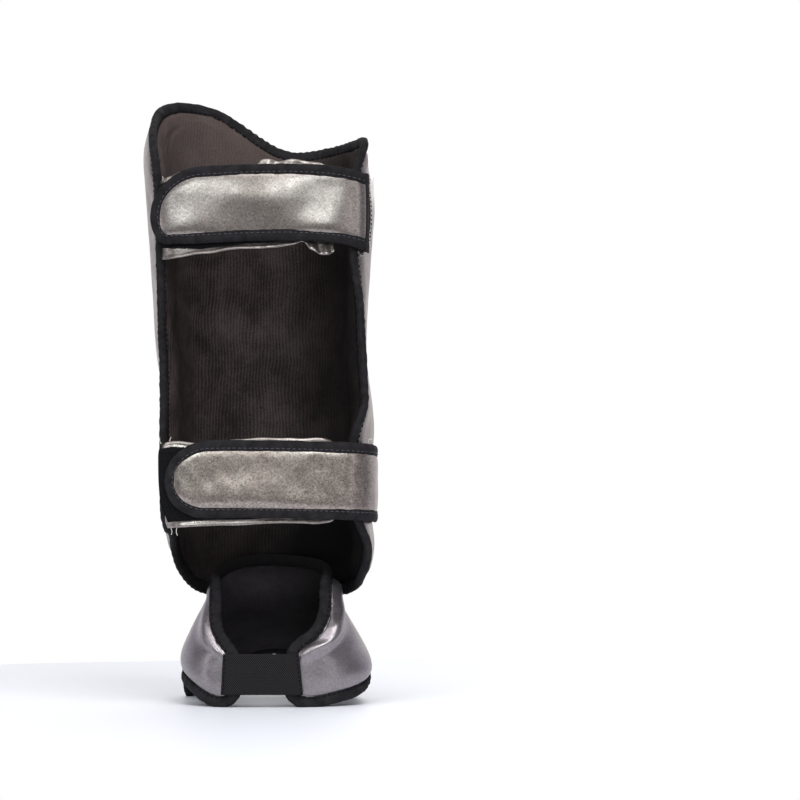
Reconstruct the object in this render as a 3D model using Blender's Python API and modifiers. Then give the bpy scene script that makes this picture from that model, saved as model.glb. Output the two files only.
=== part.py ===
"""A padded shin and instep guard for kick boxing, standing on the lower edge of its instep pad.

The guard is seen from the calf side: +X is the wearer's right, +Y points to the shin and toes, +Z up.
The tables measure X from the calf's middle line and Y from the back rims. The origin is on the floor,
below the middle of the guard, at the place in those tables that MIDDLE gives.
"""

import math
from collections import namedtuple

import bmesh
import bpy
import numpy as np

MM = 0.001
MIDDLE = (-6 * MM, 72.6 * MM)

# Walls, bindings and the gap that neighbouring pieces keep. The walls' depths are measured from a shell's
# middle surface, at its edge; a cover and a lining puff out from there over the width of the ramp.
GAP = 0.3 * MM
ROLL_RADIUS = 4.5 * MM
ROLL_POINTS = 96
ROLL_RESOLUTION = 2
CORNER_REACH = 9 * MM
CLEARANCE = ROLL_RADIUS + 1.3 * MM
COVER_BACK = 0.8 * MM
LINING_FRONT = COVER_BACK + GAP
COVER_EDGE = 3.5 * MM
LINING_EDGE = 3.2 * MM
PUFF_RAMP = 30 * MM

# Numbers of points read off the smooth curves while the edges are worked out
RIM_ACROSS_POINTS = 200
RIM_UP_POINTS = 80
LOOP_POINTS = 1200
SHARE_POINTS = 241
COURSE_POINTS = 400

# A shell is open at the back. Its horizontal sections run from the left back edge, by the widest point
# and the front, to the right back edge. A share is the part of the way along a section, 0 to 1.
Shell = namedtuple(
    "Shell",
    "name sections side_share curl lower upper corners columns rows"
    " side_puff front_puff back_puff lining_puff",
)
Section = namedtuple(
    "Section",
    "z left_edge left_wide right_wide right_edge edge_y wide_y front_y left_square right_square",
)
EdgeHeight = namedtuple("EdgeHeight", "share z")
Corner = namedtuple("Corner", "share height")
Corners = namedtuple("Corners", "lower_left lower_right upper_left upper_right")

SHIN = Shell(
    name="shin",
    sections=[
        Section(88, -72.0, -68.0, 71.0, 72.0, 12, 30, 90, 0.06, 0.06),
        Section(107, -74.0, -73.0, 75.0, 79.5, 8, 30, 91, 0.06, 0.06),
        Section(118, -75.0, -74.5, 75.5, 80.5, 5, 31, 91, 0.06, 0.06),
        Section(130, -76.5, -75.5, 76.0, 79.5, 3, 32, 91, 0.06, 0.06),
        Section(143, -78.0, -76.2, 73.8, 72.4, 1, 33, 91, 0.06, 0.06),
        Section(152, -78.5, -76.8, 73.2, 69.5, 0, 34, 91, 0.06, 0.06),
        Section(176, -79.5, -77.7, 72.6, 66.5, 0, 35, 92, 0.06, 0.06),
        Section(198, -79.5, -78.2, 72.8, 67.0, 0, 36, 93, 0.06, 0.06),
        Section(216, -79.5, -78.5, 74.8, 70.6, 0, 36, 94, 0.06, 0.06),
        Section(229, -79.4, -78.0, 74.8, 76.2, 0, 37, 95, 0.06, 0.06),
        Section(260, -79.7, -77.8, 71.5, 76.4, 0, 37, 97, 0.06, 0.06),
        Section(290, -81.0, -79.2, 70.8, 74.8, 0, 38, 99, 0.06, 0.06),
        Section(320, -82.0, -81.5, 71.8, 73.0, 0, 38, 100, 0.06, 0.06),
        Section(348, -82.8, -84.0, 73.8, 68.6, 0, 39, 101, 0.06, 0.06),
        Section(392, -84.0, -87.5, 75.5, 66.0, 0, 40, 103, 0.06, 0.06),
        Section(420, -86.0, -90.0, 73.5, 70.5, 1, 41, 106, 0.06, 0.06),
        Section(440, -88.5, -92.0, 72.5, 78.0, 2, 42, 109, 0.06, 0.06),
        Section(489, -90.0, -92.5, 74.0, 79.0, 10, 46, 119, 0.06, 0.06),
    ],
    side_share=0.12,
    curl=0.0,
    lower=[
        EdgeHeight(0.00, 133),
        EdgeHeight(0.06, 139),
        EdgeHeight(0.12, 132),
        EdgeHeight(0.17, 119),
        EdgeHeight(0.20, 110),
        EdgeHeight(0.23, 102),
        EdgeHeight(0.26, 95.5),
        EdgeHeight(0.29, 91),
        EdgeHeight(0.33, 89.5),
        EdgeHeight(0.50, 90),
        EdgeHeight(0.72, 90),
        EdgeHeight(0.76, 91.5),
        EdgeHeight(0.80, 94.5),
        EdgeHeight(0.85, 97.5),
        EdgeHeight(0.88, 99.5),
        EdgeHeight(0.94, 103.5),
        EdgeHeight(1.00, 102),
    ],
    upper=[
        EdgeHeight(0.00, 447),
        EdgeHeight(0.06, 451),
        EdgeHeight(0.12, 461),
        EdgeHeight(0.20, 475.5),
        EdgeHeight(0.30, 484),
        EdgeHeight(0.38, 480),
        EdgeHeight(0.44, 465.5),
        EdgeHeight(0.50, 450),
        EdgeHeight(0.565, 444),
        EdgeHeight(0.61, 445),
        EdgeHeight(0.68, 447.5),
        EdgeHeight(0.75, 449),
        EdgeHeight(0.80, 448.5),
        EdgeHeight(0.87, 446),
        EdgeHeight(1.00, 442),
    ],
    corners=Corners(
        Corner(0.08, 26 * MM), Corner(0.07, 24 * MM), Corner(0.07, 26 * MM), Corner(0.02, 4 * MM)
    ),
    columns=22,
    rows=15,
    side_puff=4 * MM,
    front_puff=10 * MM,
    back_puff=4 * MM,
    lining_puff=4 * MM,
)

INSTEP = Shell(
    name="instep",
    sections=[
        Section(0, -22, -70.0, 79.0, 18, 3, 50, 165, 0.26, 0.06),
        Section(14, -22, -67.5, 79.0, 18, 3, 50, 164, 0.24, 0.06),
        Section(30, -22, -64.0, 76.5, 18, 3, 50, 160, 0.17, 0.06),
        Section(41, -24, -60.5, 69.5, 20, 3, 49, 151, 0.12, 0.06),
        Section(49, -31, -57.0, 65.5, 26, 6, 49, 134, 0.08, 0.05),
        Section(57, -37, -53.0, 61.0, 39, 10, 48, 116, 0.05, 0.04),
        Section(66, -39, -48.5, 56.0, 43, 15, 47, 98, 0.03, 0.03),
        Section(75, -40, -44.5, 52.3, 46, 21, 46, 80, 0.02, 0.02),
        Section(80, -40, -43.0, 50.8, 46, 24, 46, 74, 0.00, 0.00),
        Section(86, -40, -42.0, 49.5, 46, 26, 46, 70.6, 0.00, 0.00),
        Section(92, -40, -41.6, 49.0, 46, 29, 46, 70.5, 0.00, 0.00),
        Section(98, -40, -41.5, 48.5, 46, 31, 46, 76.6, 0.00, 0.00),
        Section(105, -40, -41.5, 48.2, 46, 33, 46, 78.8, 0.00, 0.00),
        Section(112, -40, -41.5, 48.0, 46, 34, 46, 79, 0.00, 0.00),
    ],
    side_share=0.2,
    curl=1.0,
    lower=[
        EdgeHeight(0.000, 4),
        EdgeHeight(0.035, 2.9),
        EdgeHeight(0.076, 8),
        EdgeHeight(0.105, 13.5),
        EdgeHeight(0.140, 18.5),
        EdgeHeight(0.200, 23),
        EdgeHeight(0.255, 24.5),
        EdgeHeight(0.292, 15),
        EdgeHeight(0.325, 1),
        EdgeHeight(0.362, 12),
        EdgeHeight(0.420, 28),
        EdgeHeight(0.460, 35.5),
        EdgeHeight(0.510, 37.5),
        EdgeHeight(0.550, 34),
        EdgeHeight(0.595, 23),
        EdgeHeight(0.630, 10),
        EdgeHeight(0.655, 1),
        EdgeHeight(0.690, 14),
        EdgeHeight(0.745, 29),
        EdgeHeight(0.800, 20),
        EdgeHeight(0.870, 11),
        EdgeHeight(0.930, 6),
        EdgeHeight(0.963, 2.9),
        EdgeHeight(1.000, 4),
    ],
    upper=[
        EdgeHeight(0.00, 99),
        EdgeHeight(0.10, 99.5),
        EdgeHeight(0.20, 101),
        EdgeHeight(0.30, 107),
        EdgeHeight(0.40, 112),
        EdgeHeight(0.60, 112),
        EdgeHeight(0.70, 109),
        EdgeHeight(0.80, 103.5),
        EdgeHeight(0.90, 102),
        EdgeHeight(1.00, 102),
    ],
    corners=Corners(
        Corner(0.03, 9 * MM), Corner(0.03, 9 * MM), Corner(0.03, 1 * MM), Corner(0.03, 1 * MM)
    ),
    columns=30,
    rows=11,
    side_puff=3.5 * MM,
    front_puff=4.5 * MM,
    back_puff=1.2 * MM,
    lining_puff=1 * MM,
)

# Heel elastic, sewn to the outside of the two tabs
ELASTIC_LEFT_X = -34 * MM
ELASTIC_RIGHT_X = 30 * MM
ELASTIC_LOW_Z = 8.5 * MM
ELASTIC_HIGH_Z = 41 * MM
ELASTIC_THICKNESS = 1.6 * MM
ELASTIC_Y = -2.8 * MM

# Straps: a leather band with a rolled binding, closing on a loop-faced flap
STRAP_HALF_HEIGHT = 30.2 * MM
STRAP_THICKNESS = 3.0 * MM
BINDING_WIDTH = 8 * MM
BINDING_THICKNESS = 4.5 * MM
STRAP_COLUMNS = 30
STRAP_ROWS = 4
STRAP_END_GAP = 0.2 * MM
BINDING_STEPS = 26
TIP_STEPS = 7
FLAP_THICKNESS = 2.0 * MM
FLAP_HALF_HEIGHT = 34 * MM
PATCH_THICKNESS = 1.6 * MM
PATCH_HALF_HEIGHT = 30 * MM
PATCH_START = 30 * MM
PATCH_END_GAP = 3 * MM
PATCH_SLACK = 0.6 * MM
FLAP_STATIONS = 16
FLAP_COLUMNS = 22
FLAP_DEPTH = BINDING_THICKNESS / 2 + PATCH_SLACK + PATCH_THICKNESS + GAP + FLAP_THICKNESS / 2
RoutePoint = namedtuple("RoutePoint", "x y z")
Tip = namedtuple("Tip", "upper_length lower_length drop")
Strap = namedtuple("Strap", "name route tip flap_root flap_end_x flap_left_z flap_right_z")
STRAPS = [
    Strap(
        name="upper",
        route=[
            RoutePoint(81.9, 16, 386),
            RoutePoint(80.7, 9, 386),
            RoutePoint(78.9, 1.5, 386),
            RoutePoint(74.8, -5, 387),
            RoutePoint(66.0, -9, 389),
            RoutePoint(30.0, -16, 393),
            RoutePoint(-10.0, -19, 392),
            RoutePoint(-50.0, -17, 389),
            RoutePoint(-76.0, -13, 387),
            RoutePoint(-89.5, -10, 386),
        ],
        tip=Tip(45 * MM, 14 * MM, 10 * MM),
        flap_root=[RoutePoint(-75.2, 16, 0), RoutePoint(-76.2, 6, 0), RoutePoint(-76.6, -2, 0)],
        flap_end_x=58 * MM,
        flap_left_z=381 * MM,
        flap_right_z=394 * MM,
    ),
    Strap(
        name="lower",
        route=[
            RoutePoint(86.3, 52, 173.5),
            RoutePoint(86.3, 30, 173.5),
            RoutePoint(84.9, 14, 173.5),
            RoutePoint(81.8, 2, 173.5),
            RoutePoint(75.2, -7.2, 173.5),
            RoutePoint(62.0, -10.5, 173.5),
            RoutePoint(36.0, -14, 173.5),
            RoutePoint(-4.0, -17, 173.5),
            RoutePoint(-44.0, -15, 173.5),
            RoutePoint(-77.0, -11.5, 173.5),
        ],
        tip=Tip(30 * MM, 30 * MM, 0),
        flap_root=[RoutePoint(-69.6, 16, 0), RoutePoint(-71.1, 6, 0), RoutePoint(-71.9, -2.5, 0)],
        flap_end_x=58 * MM,
        flap_left_z=171.5 * MM,
        flap_right_z=176 * MM,
    ),
]

# Colours (linear) and finishes
LEATHER = ("pewter_leather", (0.27, 0.24, 0.22, 1), 0.38, 0.45)
BINDING = ("black_binding", (0.012, 0.012, 0.013, 1), 0.85, 0.0)
LINING = ("brown_black_lining", (0.022, 0.017, 0.015, 1), 0.95, 0.0)
LOOP = ("black_loop_tape", (0.008, 0.008, 0.009, 1), 0.95, 0.0)
WEBBING = ("black_elastic", (0.011, 0.010, 0.011, 1), 0.9, 0.0)


def smooth(xs, ys, x):
    """Cubic Hermite curve through (xs, ys), with each slope taken across its two neighbours."""
    xs, ys, x = (np.asarray(v, float) for v in (xs, ys, x))
    slopes = np.gradient(ys, xs)
    i = np.clip(np.searchsorted(xs, x, side="right") - 1, 0, len(xs) - 2)
    step = xs[i + 1] - xs[i]
    t = np.clip((x - xs[i]) / step, 0, 1)
    return (
        (2 * t**3 - 3 * t**2 + 1) * ys[i]
        + (t**3 - 2 * t**2 + t) * step * slopes[i]
        + (3 * t**2 - 2 * t**3) * ys[i + 1]
        + (t**3 - t**2) * step * slopes[i + 1]
    )


def read_off(table, key, name, x):
    """The smooth curve of one named column of a table over another, at x."""
    return smooth([getattr(row, key) for row in table], [getattr(row, name) for row in table], x)


def end_spaced(count, ends=0.35):
    """Shares from 0 to 1 that lie closer together near both ends."""
    even = np.linspace(0, 1, count)
    return (1 - ends) * even + ends * (1 - np.cos(math.pi * even)) / 2


def shell_point(shell, share, z):
    """The shell's middle surface: two quarter ellipses in front, and side walls that turn in behind."""
    share, z = np.broadcast_arrays(np.asarray(share, float), np.asarray(z, float))
    at = {
        name: read_off(shell.sections, "z", name, z / MM) * MM for name in Section._fields[1:8]
    }
    left = share < 0.5
    inward = np.where(left, share, 1 - share)
    wide = np.where(left, at["left_wide"], at["right_wide"])
    edge = np.where(left, at["left_edge"], at["right_edge"])
    squares = [read_off(shell.sections, "z", name, z / MM) for name in Section._fields[8:]]
    turn = np.clip((inward - shell.side_share) / (0.5 - shell.side_share), 0, 1) * math.pi / 2
    square = 1 + np.where(left, *squares) * np.sin(2 * turn) ** 2
    back = np.clip(1 - inward / shell.side_share, 0, 1)
    quarter = back * math.pi / 2
    inwards = (1 - shell.curl) * back**2 + shell.curl * (1 - np.cos(quarter))
    backwards = (1 - shell.curl) * back + shell.curl * np.sin(quarter)
    x = wide * np.cos(turn) * square + (edge - wide) * inwards
    y = (
        at["wide_y"]
        + (at["front_y"] - at["wide_y"]) * np.sin(turn) * square
        - (at["wide_y"] - at["edge_y"]) * backwards
    )
    return np.stack([x, y, z], -1)


def rounding(share, corner):
    """How far a quarter-ellipse corner takes the edge back at this share of the way in."""
    inside = np.clip(1 - np.asarray(share, float) / corner.share, 0, 1)
    return corner.height * (1 - np.sqrt(1 - inside**2))


def lower_edge(shell, share):
    """Height of the shell's lower edge."""
    z = read_off(shell.lower, "share", "z", share) * MM
    corners = shell.corners
    return z + rounding(share, corners.lower_left) + rounding(1 - share, corners.lower_right)


def upper_edge(shell, share):
    """Height of the shell's upper edge."""
    z = read_off(shell.upper, "share", "z", share) * MM
    corners = shell.corners
    return z - rounding(share, corners.upper_left) - rounding(1 - share, corners.upper_right)


def shell_at(shell, share, rise):
    """The shell's middle surface at a share of the way round and a share of the way up."""
    low, high = lower_edge(shell, share), upper_edge(shell, share)
    return shell_point(shell, share, low + (high - low) * rise)


def shell_rims(shell):
    """The shell's edge as four lines: up the left, over the top, down the right, and back below."""
    across = end_spaced(RIM_ACROSS_POINTS, 0.9)
    up = np.linspace(0, 1, RIM_UP_POINTS)
    return [
        shell_at(shell, 0.0, up),
        shell_at(shell, across, 1.0),
        shell_at(shell, 1.0, up[::-1]),
        shell_at(shell, across[::-1], 0.0),
    ]


def evenly(loop, count):
    """Points the same distance apart along a closed loop."""
    loop = np.concatenate([loop, loop[:1]])
    lengths = np.concatenate([[0], np.cumsum(np.linalg.norm(np.diff(loop, axis=0), axis=1))])
    at = np.linspace(0, lengths[-1], count + 1)[:-1]
    return np.stack([np.interp(at, lengths, loop[:, k]) for k in range(3)], -1)


def softened(loop, reach):
    """The loop with its corners rounded: each point becomes the mean of those within reach."""
    fine = evenly(loop, LOOP_POINTS)
    count = round(reach / np.linalg.norm(fine[1] - fine[0]))
    return np.mean([np.roll(fine, shift, axis=0) for shift in range(-count, count + 1)], axis=0)


def distances(points, line):
    """Distance from each point to the nearest point of a line, and that nearest point."""
    apart = np.linalg.norm(points[:, None] - line[None], axis=2)
    nearest = apart.argmin(1)
    return apart[np.arange(len(points)), nearest], line[nearest]


def clear_from(points, shares, line):
    """The first share at which a row of points is clear of a line of the edge."""
    return shares[np.argmax(distances(points, line)[0] >= CLEARANCE)]


def shell_grid(shell, loop):
    """The middle surface as a grid of points clear of the edge roll, and each point's distance from it."""
    left, top, right, bottom = shell_rims(shell)
    fine = np.linspace(0, 1, SHARE_POINTS)
    ends = end_spaced(shell.rows)
    sides = [
        (
            clear_from(shell_at(shell, fine, rise), fine, left),
            1 - clear_from(shell_at(shell, 1 - fine, rise), fine, right),
        )
        for rise in ends
    ]
    points = np.zeros((shell.rows, shell.columns, 3))
    for j, across in enumerate(end_spaced(shell.columns)):
        shares = np.array([low + (high - low) * across for low, high in sides])
        middle = shares.mean()
        floor = clear_from(shell_at(shell, middle, fine), fine, bottom)
        ceiling = 1 - clear_from(shell_at(shell, middle, 1 - fine), fine, top)
        points[:, j] = shell_at(shell, shares, floor + (ceiling - floor) * ends)
    flat = points.reshape(-1, 3)
    apart, nearest = distances(flat, loop)
    away = (flat - nearest) / apart[:, None]
    flat += away * np.clip(CLEARANCE - apart, 0, None)[:, None]
    return points, np.clip(apart - CLEARANCE, 0, None).reshape(points.shape[:2])


def quarter_ramp(distance):
    """0 at the edge, rising as a quarter circle to 1 at the end of the ramp."""
    short = 1 - np.clip(distance / PUFF_RAMP, 0, 1)
    return np.sqrt(1 - short**2)


def grid_normals(points):
    """Unit normals of a grid of points, pointing away from the leg."""
    normals = np.cross(np.gradient(points, axis=0), np.gradient(points, axis=1))
    return normals / np.linalg.norm(normals, axis=2, keepdims=True)


def material(spec):
    """A Principled material from (name, colour, roughness, metallic)."""
    name, colour, roughness, metallic = spec
    found = bpy.data.materials.get(name)
    if found:
        return found
    made = bpy.data.materials.new(name)
    made.use_nodes = True
    shader = made.node_tree.nodes["Principled BSDF"]
    shader.inputs["Base Color"].default_value = colour
    shader.inputs["Roughness"].default_value = roughness
    shader.inputs["Metallic"].default_value = metallic
    return made


def link(obj, spec):
    """Puts an object in the guard's collection and over the origin, with its material."""
    bpy.data.collections["shin_guard"].objects.link(obj)
    obj.location = (-MIDDLE[0], -MIDDLE[1], 0)
    obj.data.materials.append(material(spec))
    return obj


def warped_grid(name, points, spec, thickness, side, weights=None):
    """A grid bent to an array of points [row, column], thickened by Solidify.

    side 1 thickens to the left of the walk along a row, seen with the rows going up, and -1 to the right.
    weights give each point's share of the thickness.
    """
    rows, columns = points.shape[:2]
    mesh = bpy.data.meshes.new(name)
    bm = bmesh.new()
    bmesh.ops.create_grid(bm, x_segments=columns - 1, y_segments=rows - 1, size=0.5)
    for vert in bm.verts:
        row = round((vert.co.y + 0.5) * (rows - 1))
        place = round((vert.co.x + 0.5) * (columns - 1))
        vert.index = row * columns + place
        vert.co = points[row, place]
    bm.verts.sort()
    bm.to_mesh(mesh)
    bm.free()
    mesh.shade_smooth()
    obj = link(bpy.data.objects.new(name, mesh), spec)
    shell = obj.modifiers.new("wall", "SOLIDIFY")
    shell.thickness = thickness
    shell.offset = side
    shell.use_even_offset = False
    shell.use_rim = True
    if weights is not None:
        group = obj.vertex_groups.new(name="wall_share")
        for index, weight in enumerate(weights.ravel()):
            group.add([index], float(weight), "REPLACE")
        shell.vertex_group = group.name
        shell.thickness_vertex_group = 0.0
    return obj


def roll(name, points, spec, radius):
    """A closed round edge roll along a loop of points."""
    curve = bpy.data.curves.new(name, "CURVE")
    curve.dimensions = "3D"
    curve.bevel_depth = radius
    curve.bevel_resolution = ROLL_RESOLUTION
    spline = curve.splines.new("POLY")
    spline.points.add(len(points) - 1)
    for target, point in zip(spline.points, points):
        target.co = (*point, 1)
    spline.use_cyclic_u = True
    return link(bpy.data.objects.new(name, curve), spec)


def as_mesh(obj):
    """The same object as a welded mesh, because a Boolean takes no curve."""
    graph = bpy.context.evaluated_depsgraph_get()
    mesh = bpy.data.meshes.new_from_object(obj.evaluated_get(graph))
    bm = bmesh.new()
    bm.from_mesh(mesh)
    bmesh.ops.remove_doubles(bm, verts=bm.verts, dist=0.01 * MM)
    bm.to_mesh(mesh)
    bm.free()
    name = obj.name
    curve = obj.data
    made = bpy.data.objects.new(name + "_mesh", mesh)
    made.matrix_world = obj.matrix_world
    bpy.data.collections["shin_guard"].objects.link(made)
    bpy.data.objects.remove(obj)
    bpy.data.curves.remove(curve)
    made.name = name
    return made


def floor_cutter():
    """A block below the floor, which presses flat what rests on it."""
    bm = bmesh.new()
    bmesh.ops.create_cube(bm, size=1.0)
    mesh = bpy.data.meshes.new("floor_cutter")
    bm.to_mesh(mesh)
    bm.free()
    cutter = bpy.data.objects.new("floor_cutter", mesh)
    cutter.location = (0, 0, -0.5)
    cutter.hide_render = True
    cutter.display_type = "WIRE"
    bpy.data.collections["cutters"].objects.link(cutter)
    return cutter


def wall(name, points, normals, depth, spec):
    """A wall of varying depth that grows from the points along their normals."""
    outward = np.cross(np.gradient(points, axis=1), np.gradient(points, axis=0))
    side = 1 if (outward * normals).sum() > 0 else -1
    return warped_grid(name, points, spec, float(depth.max()), side, depth / depth.max())


def build_shell(shell):
    """A padded shell: the cover, the lining inside it and the roll of binding round their edge."""
    loop = softened(np.concatenate([rim[:-1] for rim in shell_rims(shell)]), CORNER_REACH)
    binding = roll(shell.name + "_binding", evenly(loop, ROLL_POINTS), BINDING, ROLL_RADIUS)
    points, inset = shell_grid(shell, loop)
    normals = grid_normals(points)
    rise = quarter_ramp(inset)
    share = np.linspace(0, 1, shell.columns)
    front = np.sin(math.pi * share) ** 2
    back = np.clip(1 - np.minimum(share, 1 - share) / shell.side_share, 0, 1)
    puff = shell.side_puff + shell.front_puff * front + (shell.back_puff - shell.side_puff) * back
    cover = COVER_EDGE + COVER_BACK + puff * rise
    lining = LINING_EDGE - LINING_FRONT + shell.lining_puff * rise
    wall(shell.name + "_cover", points - normals * COVER_BACK, normals, cover, LEATHER)
    wall(shell.name + "_lining", points - normals * LINING_FRONT, -normals, lining, LINING)
    return binding


def press_on_floor(obj):
    """Cuts off what reaches below the floor, so that the soft roll rests flat."""
    cut = as_mesh(obj).modifiers.new("floor", "BOOLEAN")
    cut.operation = "DIFFERENCE"
    cut.object = floor_cutter()


def build_elastic():
    """The wide elastic that joins the two heel tabs."""
    points = np.zeros((3, 9, 3))
    points[..., 0] = np.linspace(ELASTIC_LEFT_X, ELASTIC_RIGHT_X, 9)
    points[..., 1] = ELASTIC_Y
    points[..., 2] = np.linspace(ELASTIC_LOW_Z, ELASTIC_HIGH_Z, 3)[:, None]
    warped_grid("heel_elastic", points, WEBBING, ELASTIC_THICKNESS, 0)


class Course:
    """The course of an upright band: a smooth plan curve with the height of the band's middle."""

    def __init__(self, route):
        steps = np.linalg.norm(np.diff(route[:, :2], axis=0), axis=1)
        knots = np.concatenate([[0], np.cumsum(steps)])
        self.lengths = np.linspace(0, knots[-1], COURSE_POINTS)
        self.line = np.stack([smooth(knots, route[:, k], self.lengths) for k in range(3)], -1)
        tangent = np.gradient(self.line[:, :2], axis=0)
        tangent /= np.linalg.norm(tangent, axis=1, keepdims=True)
        self.right = np.stack([tangent[:, 1], -tangent[:, 0]], -1)

    def at(self, length, sideways, up):
        """Points at a length along the course, moved to its right and up."""
        length, sideways, up = np.broadcast_arrays(length, sideways, up)
        x, y, z = (np.interp(length, self.lengths, self.line[:, k]) for k in range(3))
        across = [np.interp(length, self.lengths, self.right[:, k]) for k in range(2)]
        return np.stack([x + sideways * across[0], y + sideways * across[1], z + up], -1)


def tip_outline(strap, whole, inset, turn):
    """(length, up) on the strap's outline, a width in from its edge: turn 0 to pi goes round the tip."""
    upper = turn < math.pi / 2
    reach = np.where(upper, strap.tip.upper_length, strap.tip.lower_length)
    drop = strap.tip.drop
    half = STRAP_HALF_HEIGHT - inset
    tall = np.where(upper, half + drop, half - drop)
    length = whole - reach + (reach - inset) * np.sin(turn)
    return length, tall * np.cos(turn) - drop


def build_strap(strap):
    """A strap: leather band, binding round three of its sides, and the flap it closes on."""
    course = Course(np.array(strap.route) * MM)
    whole = course.lengths[-1]
    turn = np.linspace(0, math.pi, 2 * TIP_STEPS + 1)
    outlines = []
    for inset in (0, BINDING_WIDTH, BINDING_WIDTH + GAP):
        length, up = tip_outline(strap, whole, inset, turn)
        over = np.linspace(0, length[0], BINDING_STEPS)[:-1]
        under = np.linspace(length[-1], 0, BINDING_STEPS)[1:]
        lengths = np.concatenate([over, length, under])
        ups = np.concatenate([0 * over + up[0], up, 0 * under + up[-1]])
        outlines.append((lengths, ups))
    edge = np.stack([course.at(length, 0, up) for length, up in outlines[:2]])
    warped_grid(strap.name + "_strap_binding", edge, BINDING, BINDING_THICKNESS, 0)

    lengths, ups = outlines[2]
    half = len(lengths) // 2
    at = (lengths[half] - STRAP_END_GAP) * end_spaced(STRAP_COLUMNS, 0.5)
    top = np.interp(at, lengths[: half + 1], ups[: half + 1])
    bottom = np.interp(at, lengths[half:][::-1], ups[half:][::-1])
    rows = np.linspace(0, 1, STRAP_ROWS)[:, None]
    band = course.at(at, 0, bottom + (top - bottom) * rows)
    warped_grid(strap.name + "_strap", band, LEATHER, STRAP_THICKNESS, 0)
    build_flap(strap, course)


def build_flap(strap, course):
    """The flap: sewn inside the left edge, round the binding there, and across under the strap."""
    turned = strap.flap_root[-1].x * MM + FLAP_DEPTH
    shown = (course.line[:, 0] < strap.flap_end_x) & (course.line[:, 0] > turned)
    stations = course.lengths[shown][::-1]
    under = course.at(stations[:: len(stations) // FLAP_STATIONS], FLAP_DEPTH, 0)
    flap = Course(np.concatenate([np.array(strap.flap_root) * MM, under]))
    whole = flap.lengths[-1]
    middle = [strap.flap_left_z, strap.flap_right_z]
    pieces = [
        ("_flap", 0, 0, whole, FLAP_HALF_HEIGHT, FLAP_THICKNESS, LEATHER),
        (
            "_loop_patch",
            FLAP_THICKNESS / 2 + GAP + PATCH_THICKNESS / 2,
            PATCH_START,
            whole - PATCH_END_GAP,
            PATCH_HALF_HEIGHT,
            PATCH_THICKNESS,
            LOOP,
        ),
    ]
    for name, lift, first, last, half_height, thickness, spec in pieces:
        at = np.linspace(first, last, FLAP_COLUMNS)
        points = flap.at(at, lift, np.linspace(-1, 1, 3)[:, None] * half_height)
        own_middle = np.interp(at, flap.lengths, flap.line[:, 2])
        points[..., 2] += np.interp(at, [0, whole], middle) - own_middle
        warped_grid(strap.name + name, points, spec, thickness, 0)


def main():
    """Clears the scene and builds the guard."""
    for obj in list(bpy.data.objects):
        bpy.data.objects.remove(obj)
    for name in ("shin_guard", "cutters"):
        made = bpy.data.collections.new(name)
        bpy.context.scene.collection.children.link(made)
    build_shell(SHIN)
    press_on_floor(build_shell(INSTEP))
    build_elastic()
    for strap in STRAPS:
        build_strap(strap)


main()
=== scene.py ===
"""The looks of a padded kick boxing shin and instep guard: leather, edge tape, lining, straps and light.

The guard is seen from the calf side: +X is the wearer's right, +Y points to the shin and toes, +Z up.
The tables are in millimetres. They measure X from the calf's middle line and Y from the back rims, as the
solids' sizes do, and MIDDLE is the place there of the frame's origin.
"""

import logging
import math
from dataclasses import dataclass
from enum import Enum

import bpy
import numpy as np
from bpy.types import Material, Node, NodeSocket, NodeTree, Object
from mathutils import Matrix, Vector
from numpy import ndarray as Array


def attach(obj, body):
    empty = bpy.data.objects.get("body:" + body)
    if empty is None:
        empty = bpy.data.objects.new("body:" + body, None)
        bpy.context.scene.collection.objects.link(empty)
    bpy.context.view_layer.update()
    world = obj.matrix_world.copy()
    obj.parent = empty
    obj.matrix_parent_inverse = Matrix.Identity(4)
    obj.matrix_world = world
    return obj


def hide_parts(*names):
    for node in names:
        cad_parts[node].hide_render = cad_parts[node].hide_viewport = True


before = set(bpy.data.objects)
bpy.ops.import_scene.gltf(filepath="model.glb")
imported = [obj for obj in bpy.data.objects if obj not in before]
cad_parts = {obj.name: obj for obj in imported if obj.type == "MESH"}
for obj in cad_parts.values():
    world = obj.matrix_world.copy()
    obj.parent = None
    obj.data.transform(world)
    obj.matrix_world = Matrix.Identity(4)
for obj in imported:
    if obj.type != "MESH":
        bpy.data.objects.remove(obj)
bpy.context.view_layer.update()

LOG = logging.getLogger("shin_guard")
MM = 0.001
MIDDLE = np.array((-6.0, 72.6, 0.0)) * MM
UP = np.array((0.0, 0.0, 1.0))
BODY = "root"
Place = tuple[float, float, float]
Inputs = dict[str | int, object]


class Slot(Enum):
    """Names of the material slots."""

    LEATHER = "pewter_leather"
    TAPE = "black_binding"
    LINING = "brown_black_lining"
    LOOPS = "black_loop_tape"
    ELASTIC = "black_elastic"


class Form(Enum):
    """What kind of soft piece a piece is: padded, a sheet, or neither."""

    NONE = "none"
    PADDED = "padded"
    SHEET = "sheet"


# Curves and arrays


def hermite(xs: list[float], ys: list[float], x: Array) -> Array:
    """Cubic Hermite curve through (xs, ys), with each slope taken across its two neighbours.

    Args:
        xs: the knots, rising.
        ys: the values at the knots.
        x: where the curve is read.

    Returns:
        The curve's values at x.
    """
    xs, ys, x = (np.asarray(v, float) for v in (xs, ys, x))
    slopes = np.gradient(ys, xs)
    i = np.clip(np.searchsorted(xs, x, side="right") - 1, 0, len(xs) - 2)
    step = xs[i + 1] - xs[i]
    t = np.clip((x - xs[i]) / step, 0, 1)
    return (
        (2 * t**3 - 3 * t**2 + 1) * ys[i]
        + (t**3 - 2 * t**2 + t) * step * slopes[i]
        + (3 * t**2 - 2 * t**3) * ys[i + 1]
        + (t**3 - t**2) * step * slopes[i + 1]
    )


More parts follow.
